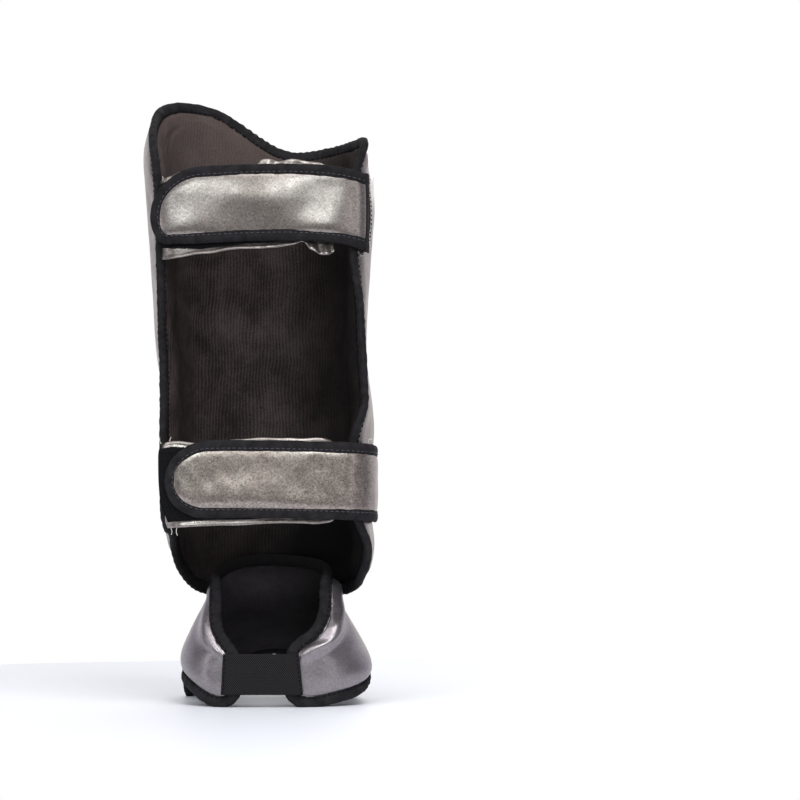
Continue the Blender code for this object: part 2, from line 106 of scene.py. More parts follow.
def finer(values: Array, count: int) -> Array:
    """The natural cubic spline through values along their first axis, read at even steps.

    Its bends, the second derivatives, solve bend[i-1] + 4 bend[i] + bend[i+1] = 6 times the second
    difference of the values, with none at the ends, so that the curve is smooth enough for a gloss.

    Args:
        values: what the spline goes through, an even step apart.
        count: how many steps it is read at.

    Returns:
        The count values.
    """
    whole = len(values)
    matrix = 4 * np.eye(whole) + np.eye(whole, k=1) + np.eye(whole, k=-1)
    matrix[[0, -1]] = np.eye(whole)[[0, -1]]
    sides = np.zeros_like(values)
    sides[1:-1] = 6 * np.diff(values, 2, axis=0)
    bend = np.linalg.solve(matrix, sides.reshape(whole, -1)).reshape(values.shape)
    at = np.linspace(0, whole - 1, count)
    i = np.clip(at.astype(int), 0, whole - 2)
    t = (at - i).reshape(-1, *[1] * (values.ndim - 1))
    return (
        (1 - t) * values[i]
        + t * values[i + 1]
        + ((1 - t) ** 3 - (1 - t)) / 6 * bend[i]
        + (t**3 - t) / 6 * bend[i + 1]
    )


def finer_grid(values: Array, rows: int, columns: int) -> Array:
    """A grid of values read smoothly at more rows and columns."""
    return np.swapaxes(finer(np.swapaxes(finer(values, rows), 0, 1), columns), 0, 1)


def smoothed(values: Array, rounds: int) -> Array:
    """A grid of values evened out: each round takes a quarter, a half and a quarter of three neighbours.

    Args:
        values: the grid.
        rounds: how often it is evened.

    Returns:
        The new grid. Its rim is evened along itself only.
    """
    values = values.copy()
    for _ in range(rounds):
        values[1:-1] = (values[:-2] + 2 * values[1:-1] + values[2:]) / 4
        values[:, 1:-1] = (values[:, :-2] + 2 * values[:, 1:-1] + values[:, 2:]) / 4
    return values


def smooth_step(value: Array, low: float, high: float) -> Array:
    """0 below low and 1 above high, with a smooth cubic between."""
    share = np.clip((value - low) / (high - low), 0, 1)
    return share**2 * (3 - 2 * share)


def quarter_ramp(distance: Array, width: float) -> Array:
    """0 up to a distance of 0, then rising as a quarter circle to 1 at width."""
    short = 1 - np.clip(distance / width, 0, 1)
    return np.sqrt(1 - short**2)


def bell(distance: Array, width: float) -> Array:
    """A bell curve: e to the power of minus the squared share of the distance in the width."""
    return np.exp(-((distance / width) ** 2))


def end_spaced(count: int, ends: float) -> Array:
    """Shares from 0 to 1, a mix of even steps and of steps that close up at both ends as a cosine does."""
    even = np.linspace(0, 1, count)
    return (1 - ends) * even + ends * (1 - np.cos(math.pi * even)) / 2


def unit(vectors: Array) -> Array:
    """The vectors along the last axis at length 1."""
    return vectors / np.maximum(np.linalg.norm(vectors, axis=-1, keepdims=True), 1e-12)


def angles(count: int) -> Array:
    """Even angles round a whole turn, from 0."""
    return np.arange(count) * 2 * math.pi / count


def circles(across: Array, up: Array, count: int) -> Array:
    """Unit circles, each in the plane of two directions, with their points on a new axis before the last."""
    turn = angles(count)[:, None]
    return np.cos(turn) * across[..., None, :] + np.sin(turn) * up[..., None, :]


def rounded_box(turn: Array, roundness: float, squarer: float) -> tuple[Array, Array]:
    """A superellipse of half widths 1 that is squarer on its inner side.

    Args:
        turn: the angles, 0 towards the inner side.
        roundness: the superellipse's power on the outer side, where 2 is round.
        squarer: what the inner side adds to the power.

    Returns:
        (inward, up) at the angles: each the angle's cosine or sine to the power of 2 over the power.
    """
    power = 2 / (roundness + squarer * np.clip(np.cos(turn), 0, 1))
    inward, up = (np.sign(v) * np.abs(v) ** power for v in (np.cos(turn), np.sin(turn)))
    return inward, up


def lengths_along(path: Array) -> Array:
    """The distance along a path up to each of its points."""
    return np.concatenate([[0], np.cumsum(np.linalg.norm(np.diff(path, axis=0), axis=1))])


def read_along(at: Array, lengths: Array, path: Array) -> Array:
    """A path's columns at lengths along it, in straight lines between its points."""
    return np.stack([np.interp(at, lengths, column) for column in path.T], -1)


def evenly(path: Array, count: int) -> Array:
    """A path's columns, read at count points an even distance apart by its first three columns."""
    lengths = lengths_along(path[:, :3])
    return read_along(np.linspace(0, lengths[-1], count), lengths, path)


def closed_up(path: Array) -> Array:
    """A path with its first point once more at its end."""
    return np.concatenate([path, path[:1]])


def ripple(points: Array, wavelength: float, seed: int, waves: int = 24) -> Array:
    """Smooth random heights with a spread of 1: a sum of sines along random directions.

    Args:
        points: where they are read, with three coordinates on the last axis.
        wavelength: the middle of the sines' wavelengths, in metres.
        seed: picks the directions, wavelengths and phases.
        waves: how many sines are summed.

    Returns:
        One height for each point.
    """
    draw = np.random.default_rng(seed)
    directions = unit(draw.normal(size=(waves, 3)))
    scales = wavelength * draw.uniform(0.7, 1.6, (waves, 1))
    phases = draw.uniform(0, 2 * math.pi, waves)
    return np.sin(points @ (directions / scales).T * 2 * math.pi + phases).sum(-1) * math.sqrt(2 / waves)


def nearest(points: Array, line: Array) -> tuple[Array, Array]:
    """The nearest point of a line to each point.

    Args:
        points: (count, 3).
        line: the line's points.

    Returns:
        (its distance, its index), one of each for a point.
    """
    apart = np.linalg.norm(points[:, None] - line[None], axis=2)
    index = apart.argmin(1)
    return apart[np.arange(len(points)), index], index


def grid_normals(points: Array) -> Array:
    """Unit normals of a grid: the cross product of its steps along columns and along rows."""
    return unit(np.cross(np.gradient(points, axis=0), np.gradient(points, axis=1)))


def pattern_of(points: Array) -> Array:
    """A pattern map in metres for a grid: the distances along its rows and columns from its middle lines.

    Args:
        points: (rows, columns, 3).

    Returns:
        (rows, columns, 2).
    """
    across, up = (np.linalg.norm(np.diff(points, axis=axis), axis=2) for axis in (1, 0))
    u = np.pad(np.cumsum(across, axis=1), ((0, 0), (1, 0)))
    v = np.pad(np.cumsum(up, axis=0), ((1, 0), (0, 0)))
    return np.stack([u - u[:, points.shape[1] // 2, None], v - v[len(points) // 2]], -1)


@dataclass(frozen=True)
class Drape:
    """Blender's cloth on a grid that is sewn down along its rim and blown up from behind.

    The slack is how much longer and wider it is cut than the form it covers, as a share, and the cap is the
    furthest that a point may move. It resists shear a third as much as stretch.
    """

    pressure: float = 2.5
    slack: float = 0.008
    stiffness: float = 30.0
    bending: float = 0.4
    quality: int = 4
    frames: int = 20
    cap: float = 2 * MM

    def settle(self, points: Array, held: Array) -> Array:
        """Runs the cloth and returns how far each point moved, capped by a hyperbolic tangent.

        Args:
            points: the grid before, whose normals point to the open side.
            held: which points are sewn down.

        Returns: The moves, of the grid's shape.
        """
        face, _ = quads(*points.shape[:2])
        mesh = bpy.data.meshes.new("drape")
        mesh.from_pydata(points.reshape(-1, 3).tolist(), [], face[:, ::-1].tolist())
        cloth = bpy.data.objects.new("drape", mesh)
        scene = bpy.context.scene
        scene.collection.objects.link(cloth)
        cloth.vertex_groups.new(name="held").add(np.flatnonzero(held.ravel()).tolist(), 1.0, "REPLACE")
        modifier = cloth.modifiers.new("cloth", "CLOTH")
        modifier.collision_settings.use_collision = False
        modifier.point_cache.frame_end = self.frames
        settings = modifier.settings
        settings.quality = self.quality
        settings.tension_stiffness = settings.compression_stiffness = self.stiffness
        settings.shear_stiffness = self.stiffness / 3
        settings.bending_stiffness = self.bending
        settings.vertex_group_mass = "held"
        settings.use_pressure = True
        settings.uniform_pressure_force = self.pressure
        settings.shrink_min = -self.slack
        settings.effector_weights.gravity = 0
        for step in range(1, self.frames + 1):
            scene.frame_set(step)
        after = np.empty(points.size, np.float32)
        ready = cloth.evaluated_get(bpy.context.evaluated_depsgraph_get())
        ready.data.vertices.foreach_get("co", after)
        scene.frame_set(1)
        bpy.data.objects.remove(cloth)
        bpy.data.meshes.remove(mesh)
        moved = after.reshape(points.shape) - points
        far = np.linalg.norm(moved, axis=-1, keepdims=True)
        return moved * (self.cap * np.tanh(far / self.cap) / np.maximum(far, 1e-9))


# Meshes


def linked(made: Object) -> Object:
    """Links an object to the scene and returns it."""
    bpy.context.scene.collection.objects.link(made)
    return made


def mesh_object(name: str, points: Array, faces: list, pattern: list | None = None) -> Object:
    """A closed mesh object at the frame's origin, with its faces turned outward and shaded smooth.

    Args:
        name: the object's name.
        points: (count, 3), in metres, in the tables' frame.
        faces: arrays of corner indices, each (faces, corners).
        pattern: for each array of faces its corners' (u, v) in metres, (faces, corners, 2).

    Returns:
        The linked object.
    """
    volume = sum(
        np.einsum("ij,ij->", points[f[:, 0]], np.cross(points[f[:, k]], points[f[:, k + 1]]))
        for f in faces
        for k in range(1, f.shape[1] - 1)
    )
    if volume < 0:
        faces = [f[:, ::-1] for f in faces]
        pattern = pattern and [p[:, ::-1] for p in pattern]
    counts = np.concatenate([np.full(len(f), f.shape[1]) for f in faces])
    mesh = bpy.data.meshes.new(name)
    mesh.vertices.add(len(points))
    mesh.vertices.foreach_set("co", (points - MIDDLE).astype(np.float32).ravel())
    mesh.loops.add(int(counts.sum()))
    mesh.loops.foreach_set("vertex_index", np.concatenate([f.ravel() for f in faces]).astype(np.int32))
    mesh.polygons.add(len(counts))
    mesh.polygons.foreach_set("loop_start", np.concatenate([[0], np.cumsum(counts)[:-1]]).astype(np.int32))
    mesh.update(calc_edges=True)
    if pattern:
        flat = np.concatenate([p.reshape(-1, 2) for p in pattern])
        mesh.uv_layers.new(name="pattern").uv.foreach_set("vector", flat.astype(np.float32).ravel())
    mesh.validate()
    mesh.shade_smooth()
    return linked(bpy.data.objects.new(name, mesh))


def quads(rows: int, columns: int, along: bool = False, around: bool = False) -> tuple[Array, Array]:
    """Corner indices of a grid's quads, for its points and for a pattern map that doesn't close.

    Args:
        rows: the number of rows.
        columns: the number of columns.
        along: whether the last row joins the first.
        around: whether the last column joins the first.

    Returns:
        (point indices, pattern indices), each (quads, 4).
    """
    r, c = np.meshgrid(np.arange(rows - 1 + along), np.arange(columns - 1 + around), indexing="ij")
    corners = [(r, c), (r, c + 1), (r + 1, c + 1), (r + 1, c)]
    own = [((i % rows) * columns + j % columns).ravel() for i, j in corners]
    mapped = [(i * (columns + around) + j).ravel() for i, j in corners]
    return np.stack(own, -1), np.stack(mapped, -1)


def wall(name: str, front: Array, back: Array) -> Object:
    """A closed sheet between two grids of the same size, joined round their rims.

    Args:
        name: the object's name.
        front: the points of one face, (rows, columns, 3).
        back: the points of the other.

    Returns:
        The linked object.
    """
    rows, columns = front.shape[:2]
    count = rows * columns
    face, _ = quads(rows, columns)
    index = np.arange(count).reshape(rows, columns)
    rim = np.concatenate([index[0, :-1], index[:-1, -1], index[-1, :0:-1], index[:0:-1, 0]])
    after = np.roll(rim, -1)
    edge = np.stack([after, rim, rim + count, after + count], -1)
    faces = [face, face[:, ::-1] + count, edge]
    flat = np.tile(pattern_of(front).reshape(-1, 2), (2, 1))
    points = np.concatenate([front.reshape(-1, 3), back.reshape(-1, 3)])
    return mesh_object(name, points, faces, [flat[f] for f in faces])


def end_caps(steps: int, sides: int) -> Array:
    """The two faces that close a tube's first and last ring."""
    return np.stack([np.arange(sides)[::-1], np.arange(sides) + (steps - 1) * sides])


def tube(name: str, points: Array, closed: bool) -> Object:
    """A profile carried along a path: a grid whose columns close round, and whose ends are capped or meet.

    Args:
        name: the object's name.
        points: (steps along the path, points round the profile, 3).
        closed: whether the path is a loop.

    Returns:
        The linked object.
    """
    steps, sides = points.shape[:2]
    face, mapped = quads(steps, sides, along=closed, around=True)
    wide = np.concatenate([points, points[:, :1]], axis=1)
    flat = pattern_of(closed_up(wide) if closed else wide).reshape(-1, 2)
    faces, pattern = [face], [flat[mapped]]
    if not closed:
        faces.append(end_caps(steps, sides))
        pattern.append(np.zeros((2, sides, 2)))
    return mesh_object(name, points.reshape(-1, 3), faces, pattern)


def small_tubes(name: str, rings: Array) -> Object:
    """Many short capped tubes as one mesh.

    Args:
        name: the object's name.
        rings: (tubes, rings along each, points round a ring, 3).

    Returns:
        The linked object.
    """
    count, steps, sides = rings.shape[:3]
    face, _ = quads(steps, sides, around=True)
    start = (np.arange(count) * steps * sides)[:, None, None]
    faces = [(part + start).reshape(-1, part.shape[1]) for part in (face, end_caps(steps, sides))]
    return mesh_object(name, rings.reshape(-1, 3), faces)


@dataclass(frozen=True)
class Thread:
    """A sewing thread laid in a row of lockstitches.

    A stitch shows a length of its pitch. Its end rings lie a blunt share in on the sine, so that they aren't
    points. Its middle stands up by the rise, and all of it lies in the cloth by the sink, both in radii.
    """

    pitch: float = 4.2 * MM
    length: float = 2.9 * MM
    radius: float = 0.42 * MM
    sides: int = 6
    rings: int = 5
    blunt: float = 0.06
    rise: float = 0.9
    sink: float = 0.35

    def row(self, name: str, lines: list[tuple[Array, Array]]) -> Object:
        """Stitches along lines, joined as one mesh: each is a capsule whose ends dip into the cloth.

        A ring of the capsule is a circle of radius times a share, sunk by another share, and the shares
        follow half a sine along the stitch.

        Args:
            name: the object's name.
            lines: (points, outward normals) of each line of stitches.

        Returns:
            The linked object.
        """
        share = np.linspace(0, 1, self.rings)
        swell = np.sin(math.pi * np.clip(share, self.blunt, 1 - self.blunt)) ** 0.5
        lift = np.sin(math.pi * share) * self.rise - self.sink
        stitches = []
        for points, normals in lines:
            whole = lengths_along(points)
            count = max(1, int(whole[-1] / self.pitch))
            centre = (np.arange(count) + 0.5) * whole[-1] / count
            at = centre[:, None] + (share - 0.5) * self.length
            place = read_along(at, whole, points)
            out = unit(read_along(at, whole, normals))
            side = unit(np.cross(unit(np.gradient(place, axis=1)), out))
            ring = circles(side, out, self.sides) * (self.radius * swell)[:, None, None]
            stitches.append(place[:, :, None] + out[:, :, None] * (self.radius * lift)[:, None, None] + ring)
        return small_tubes(name, np.concatenate(stitches))


# Finishes


def linear(colour: str) -> tuple[float, float, float, float]:
    """An sRGB hex colour as linear red, green, blue and alpha."""
    parts = [int(colour[i : i + 2], 16) / 255 for i in (1, 3, 5)]
    return (*[c / 12.92 if c <= 0.04045 else ((c + 0.055) / 1.055) ** 2.4 for c in parts], 1.0)


def connect(node: Node, inputs: Inputs) -> None:
    """Sets a node's inputs.

    Args:
        node: the node.
        inputs: an input's name or number to a value, or to the output socket that feeds it.
    """
    for key, value in inputs.items():
        if isinstance(value, NodeSocket):
            node.id_data.links.new(value, node.inputs[key])
        else:
            node.inputs[key].default_value = value


def add(
    tree: NodeTree, kind: str, output: str | int, inputs: Inputs | None = None,
    **settings: object,
) -> NodeSocket:
    """Adds a shader node, sets its properties, and sets or links its inputs.

    Args:
        tree: the node tree.
        kind: the node's type name, without ShaderNode before it.
        output: the name or number of the output that is wanted.
        inputs: what connect takes.
        settings: the node's own properties.

    Returns:
        The output socket.
    """
    node = tree.nodes.new("ShaderNode" + kind)
    for key, value in settings.items():
        setattr(node, key, value)
    connect(node, inputs or {})
    return node.outputs[output]


def new_material(name: str) -> tuple[Material, NodeTree, Node]:
    """An empty Principled material: (material, its node tree, its shader)."""
    made = bpy.data.materials.new(name)
    made.use_nodes = True
    return made, made.node_tree, made.node_tree.nodes["Principled BSDF"]


def bands(width: float) -> float:
    """The scale at which a Wave texture's bands are a width apart, in metres."""
    return math.pi / 10 / width


@dataclass(frozen=True)
class PewterLeather:
    """Polyurethane leather: a knit cloth coated with pewter pigment and embossed with a fine grain.

    The metal pigment gives broad satin highlights that break up into sparkle over the grain. Its flakes are
    far finer than a millimetre, and are drawn this coarse so that they show. It is smoothest where it is
    stretched and roughest where it is creased.
    """

    name: str = "pewter_pu_leather"
    dark: str = "#655e5a"
    light: str = "#b5aca8"
    metallic: float = 0.88
    smoothest: float = 0.27
    roughest: float = 0.37
    grain: float = 1.5 * MM
    grain_depth: float = 0.025 * MM
    flake: float = 1.25 * MM
    patch: float = 45 * MM
    mottle: float = 2.6 * MM
    speckle: float = 1.0
    crease: float = 14 * MM
    crease_depth: float = 0.16 * MM

    def material(self) -> Material:
        """Builds it: colour from soft patches, mottles, flakes and single cells, bump from creases and grain."""
        made, tree, shader = new_material(self.name)
        place = add(tree, "TexCoord", "Object")
        patches, mottles, flakes, creases = (
            add(tree, "TexNoise", "Fac", {"Vector": place, "Scale": 1 / size, "Detail": detail, "Roughness": 0.6})
            for size, detail in ((self.patch, 3.0), (self.mottle, 2.0), (self.flake, 1.0), (self.crease, 2.0))
        )
        cell = {"Vector": place, "Scale": 1 / self.grain, "Smoothness": 0.6}
        cells = add(tree, "TexVoronoi", "Distance", cell, feature="SMOOTH_F1")
        sparkle = add(tree, "TexVoronoi", "Color", {"Vector": place, "Scale": 1 / self.flake})
        single = add(tree, "SeparateColor", "Red", {"Color": sparkle})
        share = flakes
        for part, weight in ((patches, 0.4), (mottles, 0.35), (single, 0.25)):
            share = add(tree, "Math", 0, {0: part, 1: weight, 2: share}, operation="MULTIPLY_ADD")
        half = 0.5 / self.speckle
        share = add(tree, "MapRange", 0, {"Value": share, "From Min": 1 - half, "From Max": 1 + half})
        ends = {"A": linear(self.dark), "B": linear(self.light)}
        gloss = {"From Min": 0.3, "From Max": 0.7, "To Min": self.smoothest, "To Max": self.roughest}
        folds = add(tree, "Bump", 0, {"Height": creases, "Distance": self.crease_depth})
        grain = {"Height": cells, "Distance": self.grain_depth, "Normal": folds}
        connect(shader, {
            "Base Color": add(tree, "Mix", "Result", {"Factor": share} | ends, data_type="RGBA"),
            "Roughness": add(tree, "MapRange", 0, {"Value": creases} | gloss),
            "Normal": add(tree, "Bump", 0, grain, invert=True),
            "Metallic": self.metallic,
        })
        return made


@dataclass(frozen=True)
class EdgeTapeCloth:
    """Polyester binding tape: a plain weave folded over the edge, matt and almost black.

    Its threads are drawn coarse enough to show. Where it crosses the ankle's front, in the hollow, its colour is
    mixed to a near black as painted shade: between these heights downwards and these depths forwards.
    """

    name: str = "black_polyester_tape"
    dark: str = "#131213"
    light: str = "#302d30"
    # Painted shade: the near black that the tape is mixed to in the hollow at the ankle's front.
    hollow_shade_colour: str = "#100f11"
    roughness: float = 0.78
    shine: float = 0.15
    thread: float = 0.8 * MM
    weave_depth: float = 0.10 * MM
    patch: float = 7 * MM
    hollow_z: tuple[float, float] = (0.15, 0.13)
    hollow_y: tuple[float, float] = (-0.05, -0.03)

    def material(self) -> Material:
        """Builds it: two crossed waves as the weave over soft patches, in colour and bump."""
        made, tree, shader = new_material(self.name)
        cloth = add(tree, "UVMap", "UV", uv_map="pattern")
        place = add(tree, "TexCoord", "Object")
        wave = {"Vector": cloth, "Scale": bands(self.thread), "Distortion": 0.3}
        waves = [add(tree, "TexWave", "Fac", wave, bands_direction=direction) for direction in ("X", "Y")]
        weave = add(tree, "Math", 0, {0: waves[0], 1: waves[1]}, operation="MULTIPLY")
        patches = add(tree, "TexNoise", "Fac", {"Vector": place, "Scale": 1 / self.patch, "Detail": 4.0})
        share = add(tree, "Math", 0, {0: weave, 1: 0.45, 2: patches}, operation="MULTIPLY_ADD")
        share = add(tree, "MapRange", 0, {"Value": share, "From Min": 0.35, "From Max": 1.0})
        ends = {"A": linear(self.dark), "B": linear(self.light)}
        colour = add(tree, "Mix", "Result", {"Factor": share} | ends, data_type="RGBA")
        spot = add(tree, "SeparateXYZ", 0, {"Vector": place}).node.outputs
        low, deep = (
            add(
                tree, "MapRange", 0, {"Value": spot[axis], "From Min": start, "From Max": end},
                interpolation_type="SMOOTHSTEP",
            )
            for axis, (start, end) in (("Z", self.hollow_z), ("Y", self.hollow_y))
        )
        # Painted shade where the tape lies low and far forward, in the hollow at the ankle's front.
        hollow_shade_share = add(tree, "Math", 0, {0: low, 1: deep}, operation="MULTIPLY")
        hollow_shade_mix = {"Factor": hollow_shade_share, "A": colour, "B": linear(self.hollow_shade_colour)}
        connect(shader, {
            "Base Color": add(tree, "Mix", "Result", hollow_shade_mix, data_type="RGBA"),
            "Normal": add(tree, "Bump", 0, {"Height": weave, "Distance": self.weave_depth}),
            "Roughness": self.roughness,
            "Specular IOR Level": self.shine,
        })
        return made


@dataclass(frozen=True)
class BrushedLining:
    """Polyester tricot whose face was raised to a nap by brushing, brown-black, with faint upright rows of knitting.

    Its colour is darkened low down and on the wearer's right as painted shade, and lightened along the top,
    most where the nap is high, as painted light. Its tufts are drawn coarse enough to show.
    """

    name: str = "brushed_tricot_lining"
    dark: str = "#241f1e"
    light: str = "#4b4240"
    roughness: float = 0.95
    shine: float = 0.1
    nap: float = 0.9 * MM
    nap_depth: float = 0.25 * MM
    row: float = 2.8 * MM
    # Painted shade and painted light: the tints and strengths that darken the colour low down and on the wearer's
    # right, and lighten it along the top.
    painted_shade_tint: str = "#100f0f"
    painted_light_tint: str = "#5c514e"
    painted_light_top: float = 1.1
    painted_shade_right: float = 0.75
    painted_shade_low: float = 0.7
    patch: float = 26 * MM

    def material(self) -> Material:
        """Builds it: wavy upright bands and soft patches of the nap in the colour, and the nap as bump.

        The painted shade and the painted light are smooth steps along X and Z, between two places in metres.
        """
        made, tree, shader = new_material(self.name)
        cloth = add(tree, "UVMap", "UV", uv_map="pattern")
        place = add(tree, "TexCoord", "Object")
        knit = {"Scale": bands(self.row), "Distortion": 9.0, "Detail": 2.0, "Detail Scale": 0.25}
        rows = add(tree, "TexWave", "Fac", {"Vector": cloth} | knit, bands_direction="X")
        patches, nap = (
            add(tree, "TexNoise", "Fac", {"Vector": place, "Scale": 1 / size, "Detail": detail, "Roughness": rough})
            for size, detail, rough in ((self.patch, 5.0, 0.6), (self.nap, 3.0, 0.7))
        )
        share = add(tree, "Math", 0, {0: rows, 1: 0.22, 2: patches}, operation="MULTIPLY_ADD")
        share = add(tree, "Math", 0, {0: nap, 1: 1.0, 2: share}, operation="MULTIPLY_ADD")
        share = add(tree, "MapRange", 0, {"Value": share, "From Min": 0.9, "From Max": 1.35})
        ends = {"A": linear(self.dark), "B": linear(self.light)}
        colour = add(tree, "Mix", "Result", {"Factor": share} | ends, data_type="RGBA")
        spot = add(tree, "SeparateXYZ", 0, {"Vector": place}).node.outputs
        right, low, painted_light_share = (
            add(
                tree, "MapRange", 0, {"Value": spot[axis], "From Min": start, "From Max": end, "To Max": most},
                interpolation_type="SMOOTHSTEP",
            )
            for axis, start, end, most in (
                ("X", 0.0, 0.06, self.painted_shade_right), ("Z", 0.19, 0.12, self.painted_shade_low), ("Z", 0.37, 0.43, self.painted_light_top)
            )
        )
        # Painted shade low down and on the wearer's right; painted light along the top, varied by the nap.
        painted_lighting = add(tree, "Math", 0, {0: right, 1: low}, operation="ADD", use_clamp=True)
        painted_light_share = add(tree, "Math", 0, {0: painted_light_share, 1: nap}, operation="MULTIPLY")
        for part, tint in ((painted_light_share, self.painted_light_tint), (painted_lighting, self.painted_shade_tint)):
            colour = add(tree, "Mix", "Result", {"Factor": part, "A": colour, "B": linear(tint)}, data_type="RGBA")
        connect(shader, {
            "Base Color": colour,
            "Normal": add(tree, "Bump", 0, {"Height": nap, "Distance": self.nap_depth}),
            "Roughness": self.roughness,
            "Specular IOR Level": self.shine,
        })
        return made


@dataclass(frozen=True)
class LoopPile:
    """Nylon loop tape: a knit with a dense pile of small loops that drinks the light."""

    name: str = "black_nylon_loops"
    dark: str = "#0b0b0c"
    light: str = "#1d1d1f"
    roughness: float = 0.95
    shine: float = 0.1
    loop: float = 1.1 * MM
    depth: float = 0.6 * MM

    def material(self) -> Material:
        """Builds it: small bright cells for the loops, and the same cells as bump."""
        made, tree, shader = new_material(self.name)
        place = add(tree, "TexCoord", "Object")
        cells = add(tree, "TexVoronoi", "Distance", {"Vector": place, "Scale": 1 / self.loop})
        ends = {"A": linear(self.light), "B": linear(self.dark)}
        connect(shader, {
            "Base Color": add(tree, "Mix", "Result", {"Factor": cells} | ends, data_type="RGBA"),
            "Normal": add(tree, "Bump", 0, {"Height": cells, "Distance": self.depth}, invert=True),
            "Roughness": self.roughness,
            "Specular IOR Level": self.shine,
        })
        return made


@dataclass(frozen=True)
class ElasticWebbing:
    """Woven elastic: rubber cords under black polyester, whose crossings make small diamonds."""

    name: str = "black_woven_elastic"
    dark: str = "#030303"
    light: str = "#3b373a"
    roughness: float = 0.72
    shine: float = 0.2
    diamond: float = 1.25 * MM
    slant: float = 0.62
    depth: float = 0.28 * MM

    def material(self) -> Material:
        """Builds it: two slanting waves, multiplied, as the crossings in colour and bump."""
        made, tree, shader = new_material(self.name)
        cloth = add(tree, "UVMap", "UV", uv_map="pattern")
        waves = []
        for turn in (self.slant, -self.slant):
            turned = add(tree, "Mapping", 0, {"Vector": cloth, "Rotation": (0, 0, turn)})
            wave = {"Vector": turned, "Scale": bands(self.diamond), "Distortion": 0.4}
            waves.append(add(tree, "TexWave", "Fac", wave))
        crossed = add(tree, "Math", 0, {0: waves[0], 1: waves[1]}, operation="MULTIPLY")
        ends = {"A": linear(self.dark), "B": linear(self.light)}
        connect(shader, {
            "Base Color": add(tree, "Mix", "Result", {"Factor": crossed} | ends, data_type="RGBA"),
            "Normal": add(tree, "Bump", 0, {"Height": crossed, "Distance": self.depth}),
            "Roughness": self.roughness,
            "Specular IOR Level": self.shine,
        })
        return made


@dataclass(frozen=True)
class SewingThread:
    """Bonded nylon thread: two plies twisted together, with a slight shine."""

    name: str
    dark: str
    light: str
    roughness: float = 0.6
    shine: float = 0.4
    twist: float = 0.5 * MM

    def material(self) -> Material:
        """Builds it: fine bands across the thread for the plies."""
        made, tree, shader = new_material(self.name)
        place = add(tree, "TexCoord", "Object")
        twist = {"Vector": place, "Scale": bands(self.twist), "Distortion": 1.0}
        plies = add(tree, "TexWave", "Fac", twist, bands_direction="DIAGONAL")
        ends = {"A": linear(self.dark), "B": linear(self.light)}
        connect(shader, {
            "Base Color": add(tree, "Mix", "Result", {"Factor": plies} | ends, data_type="RGBA"),
            "Roughness": self.roughness,
            "Specular IOR Level": self.shine,
        })
        return made


class Wardrobe:
    """Every finish of the guard, each built once."""

    def __init__(self) -> None:
        """Builds the materials."""
        self.strap_leather = PewterLeather(crease_depth=0.1 * MM).material()
        # Painted light: a copy of the strap leather whose light end is brighter and warmer, for the lower strap, with
        # a coarser speckle of grain and shallower creases.
        self.lit_strap_leather = PewterLeather(
            "lit_pewter_leather", "#5f5752", "#c0b5ae", speckle=1.15, crease_depth=0.06 * MM
        ).material()
        self.shin_leather = PewterLeather("smooth_pewter_leather", speckle=0.6).material()
        # Painted shade and painted cool light: a darker, cooler copy of the pewter leather for the instep pad, with
        # less speckle.
        self.instep_leather = PewterLeather(
            "shaded_cool_pewter_leather", "#625d60", "#aea7ac", speckle=0.55
        ).material()
        self.tape = EdgeTapeCloth().material()
        self.lining = BrushedLining().material()
        self.dark_lining = BrushedLining(
            "black_tricot_lining", "#221e21", "#363135", row=1.6 * MM, painted_shade_low=0.3
        ).material()
        self.loops = LoopPile().material()
        self.elastic = ElasticWebbing().material()
        self.black_thread = SewingThread("black_thread", "#0f0e10", "#1a191c", 0.9, 0.05).material()
        # Painted sheen: the strap's black thread is drawn mid grey, so that its stitches show a sheen on the black
        # tape.
        self.sheen_painted_thread = SewingThread("black_thread_painted_sheen", "#302e35", "#524f59").material()
        self.white_thread = SewingThread("white_thread", "#b9b6ae", "#e6e3dc").material()


def dress(
    piece: Object,
    finish: Material,
    slot: Slot | None = None,
    nodes: tuple[str, ...] = (),
    form: Form = Form.NONE,
    **facts: object,
) -> Object:
    """Gives a piece its finish and body, hides the solids it stands for, and reports it.

    Args:
        piece: the finished mesh object.
        finish: its material.
        slot: the slot for it, if it has one; not used.
        nodes: the solids that it replaces.
        form: whether it is padded or a sheet; not used.
        facts: more about its form; not used.

    Returns:
        The piece.
    """
    piece.data.materials.append(finish)
    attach(piece, BODY)
    if nodes:
        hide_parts(*nodes)
    LOG.info("%s: %d faces", piece.name, len(piece.data.polygons))
    return piece


# Shells


@dataclass(frozen=True)
class Section:
    """One level of a shell, in millimetres: where its edges and widest points lie, and how square it is."""

    z: float
    left_edge: float
    left_wide: float
    right_wide: float
    right_edge: float
    edge_y: float
    wide_y: float
    front_y: float
    left_square: float = 0.06
    right_square: float = 0.06


@dataclass(frozen=True)
class EdgeHeight:
    """The height in millimetres of a shell's edge at a share of the way round it."""

    share: float
    z: float


@dataclass(frozen=True)
class Corner:
    """A rounded corner: a quarter ellipse this share wide and this many millimetres high."""

    share: float
    height: float


@dataclass(frozen=True)
class SewnPatch:
    """A box in millimetres where something is sewn flat on the leather."""

    low: Place
    high: Place

    def holds(self, points: Array) -> Array:
        """Which points lie in it."""
        return np.all((points > np.array(self.low) * MM) & (points < np.array(self.high) * MM), axis=-1)


@dataclass(frozen=True)
class Bulge:
    """A bulge of a surface, or a dent where its height is negative, in millimetres."""

    x: float
    z: float
    wide: float
    tall: float
    height: float

    def on(self, points: Array) -> Array:
        """Its height in metres at points: a bell curve across and up."""
        across, up = points[..., 0] / MM - self.x, points[..., 2] / MM - self.z
        return self.height * MM * bell(across, self.wide) * bell(up, self.tall)


def table(row: type, *rows: tuple) -> tuple:
    """A table of sizes: each row's values as one object of a class."""
    return tuple(row(*values) for values in rows)


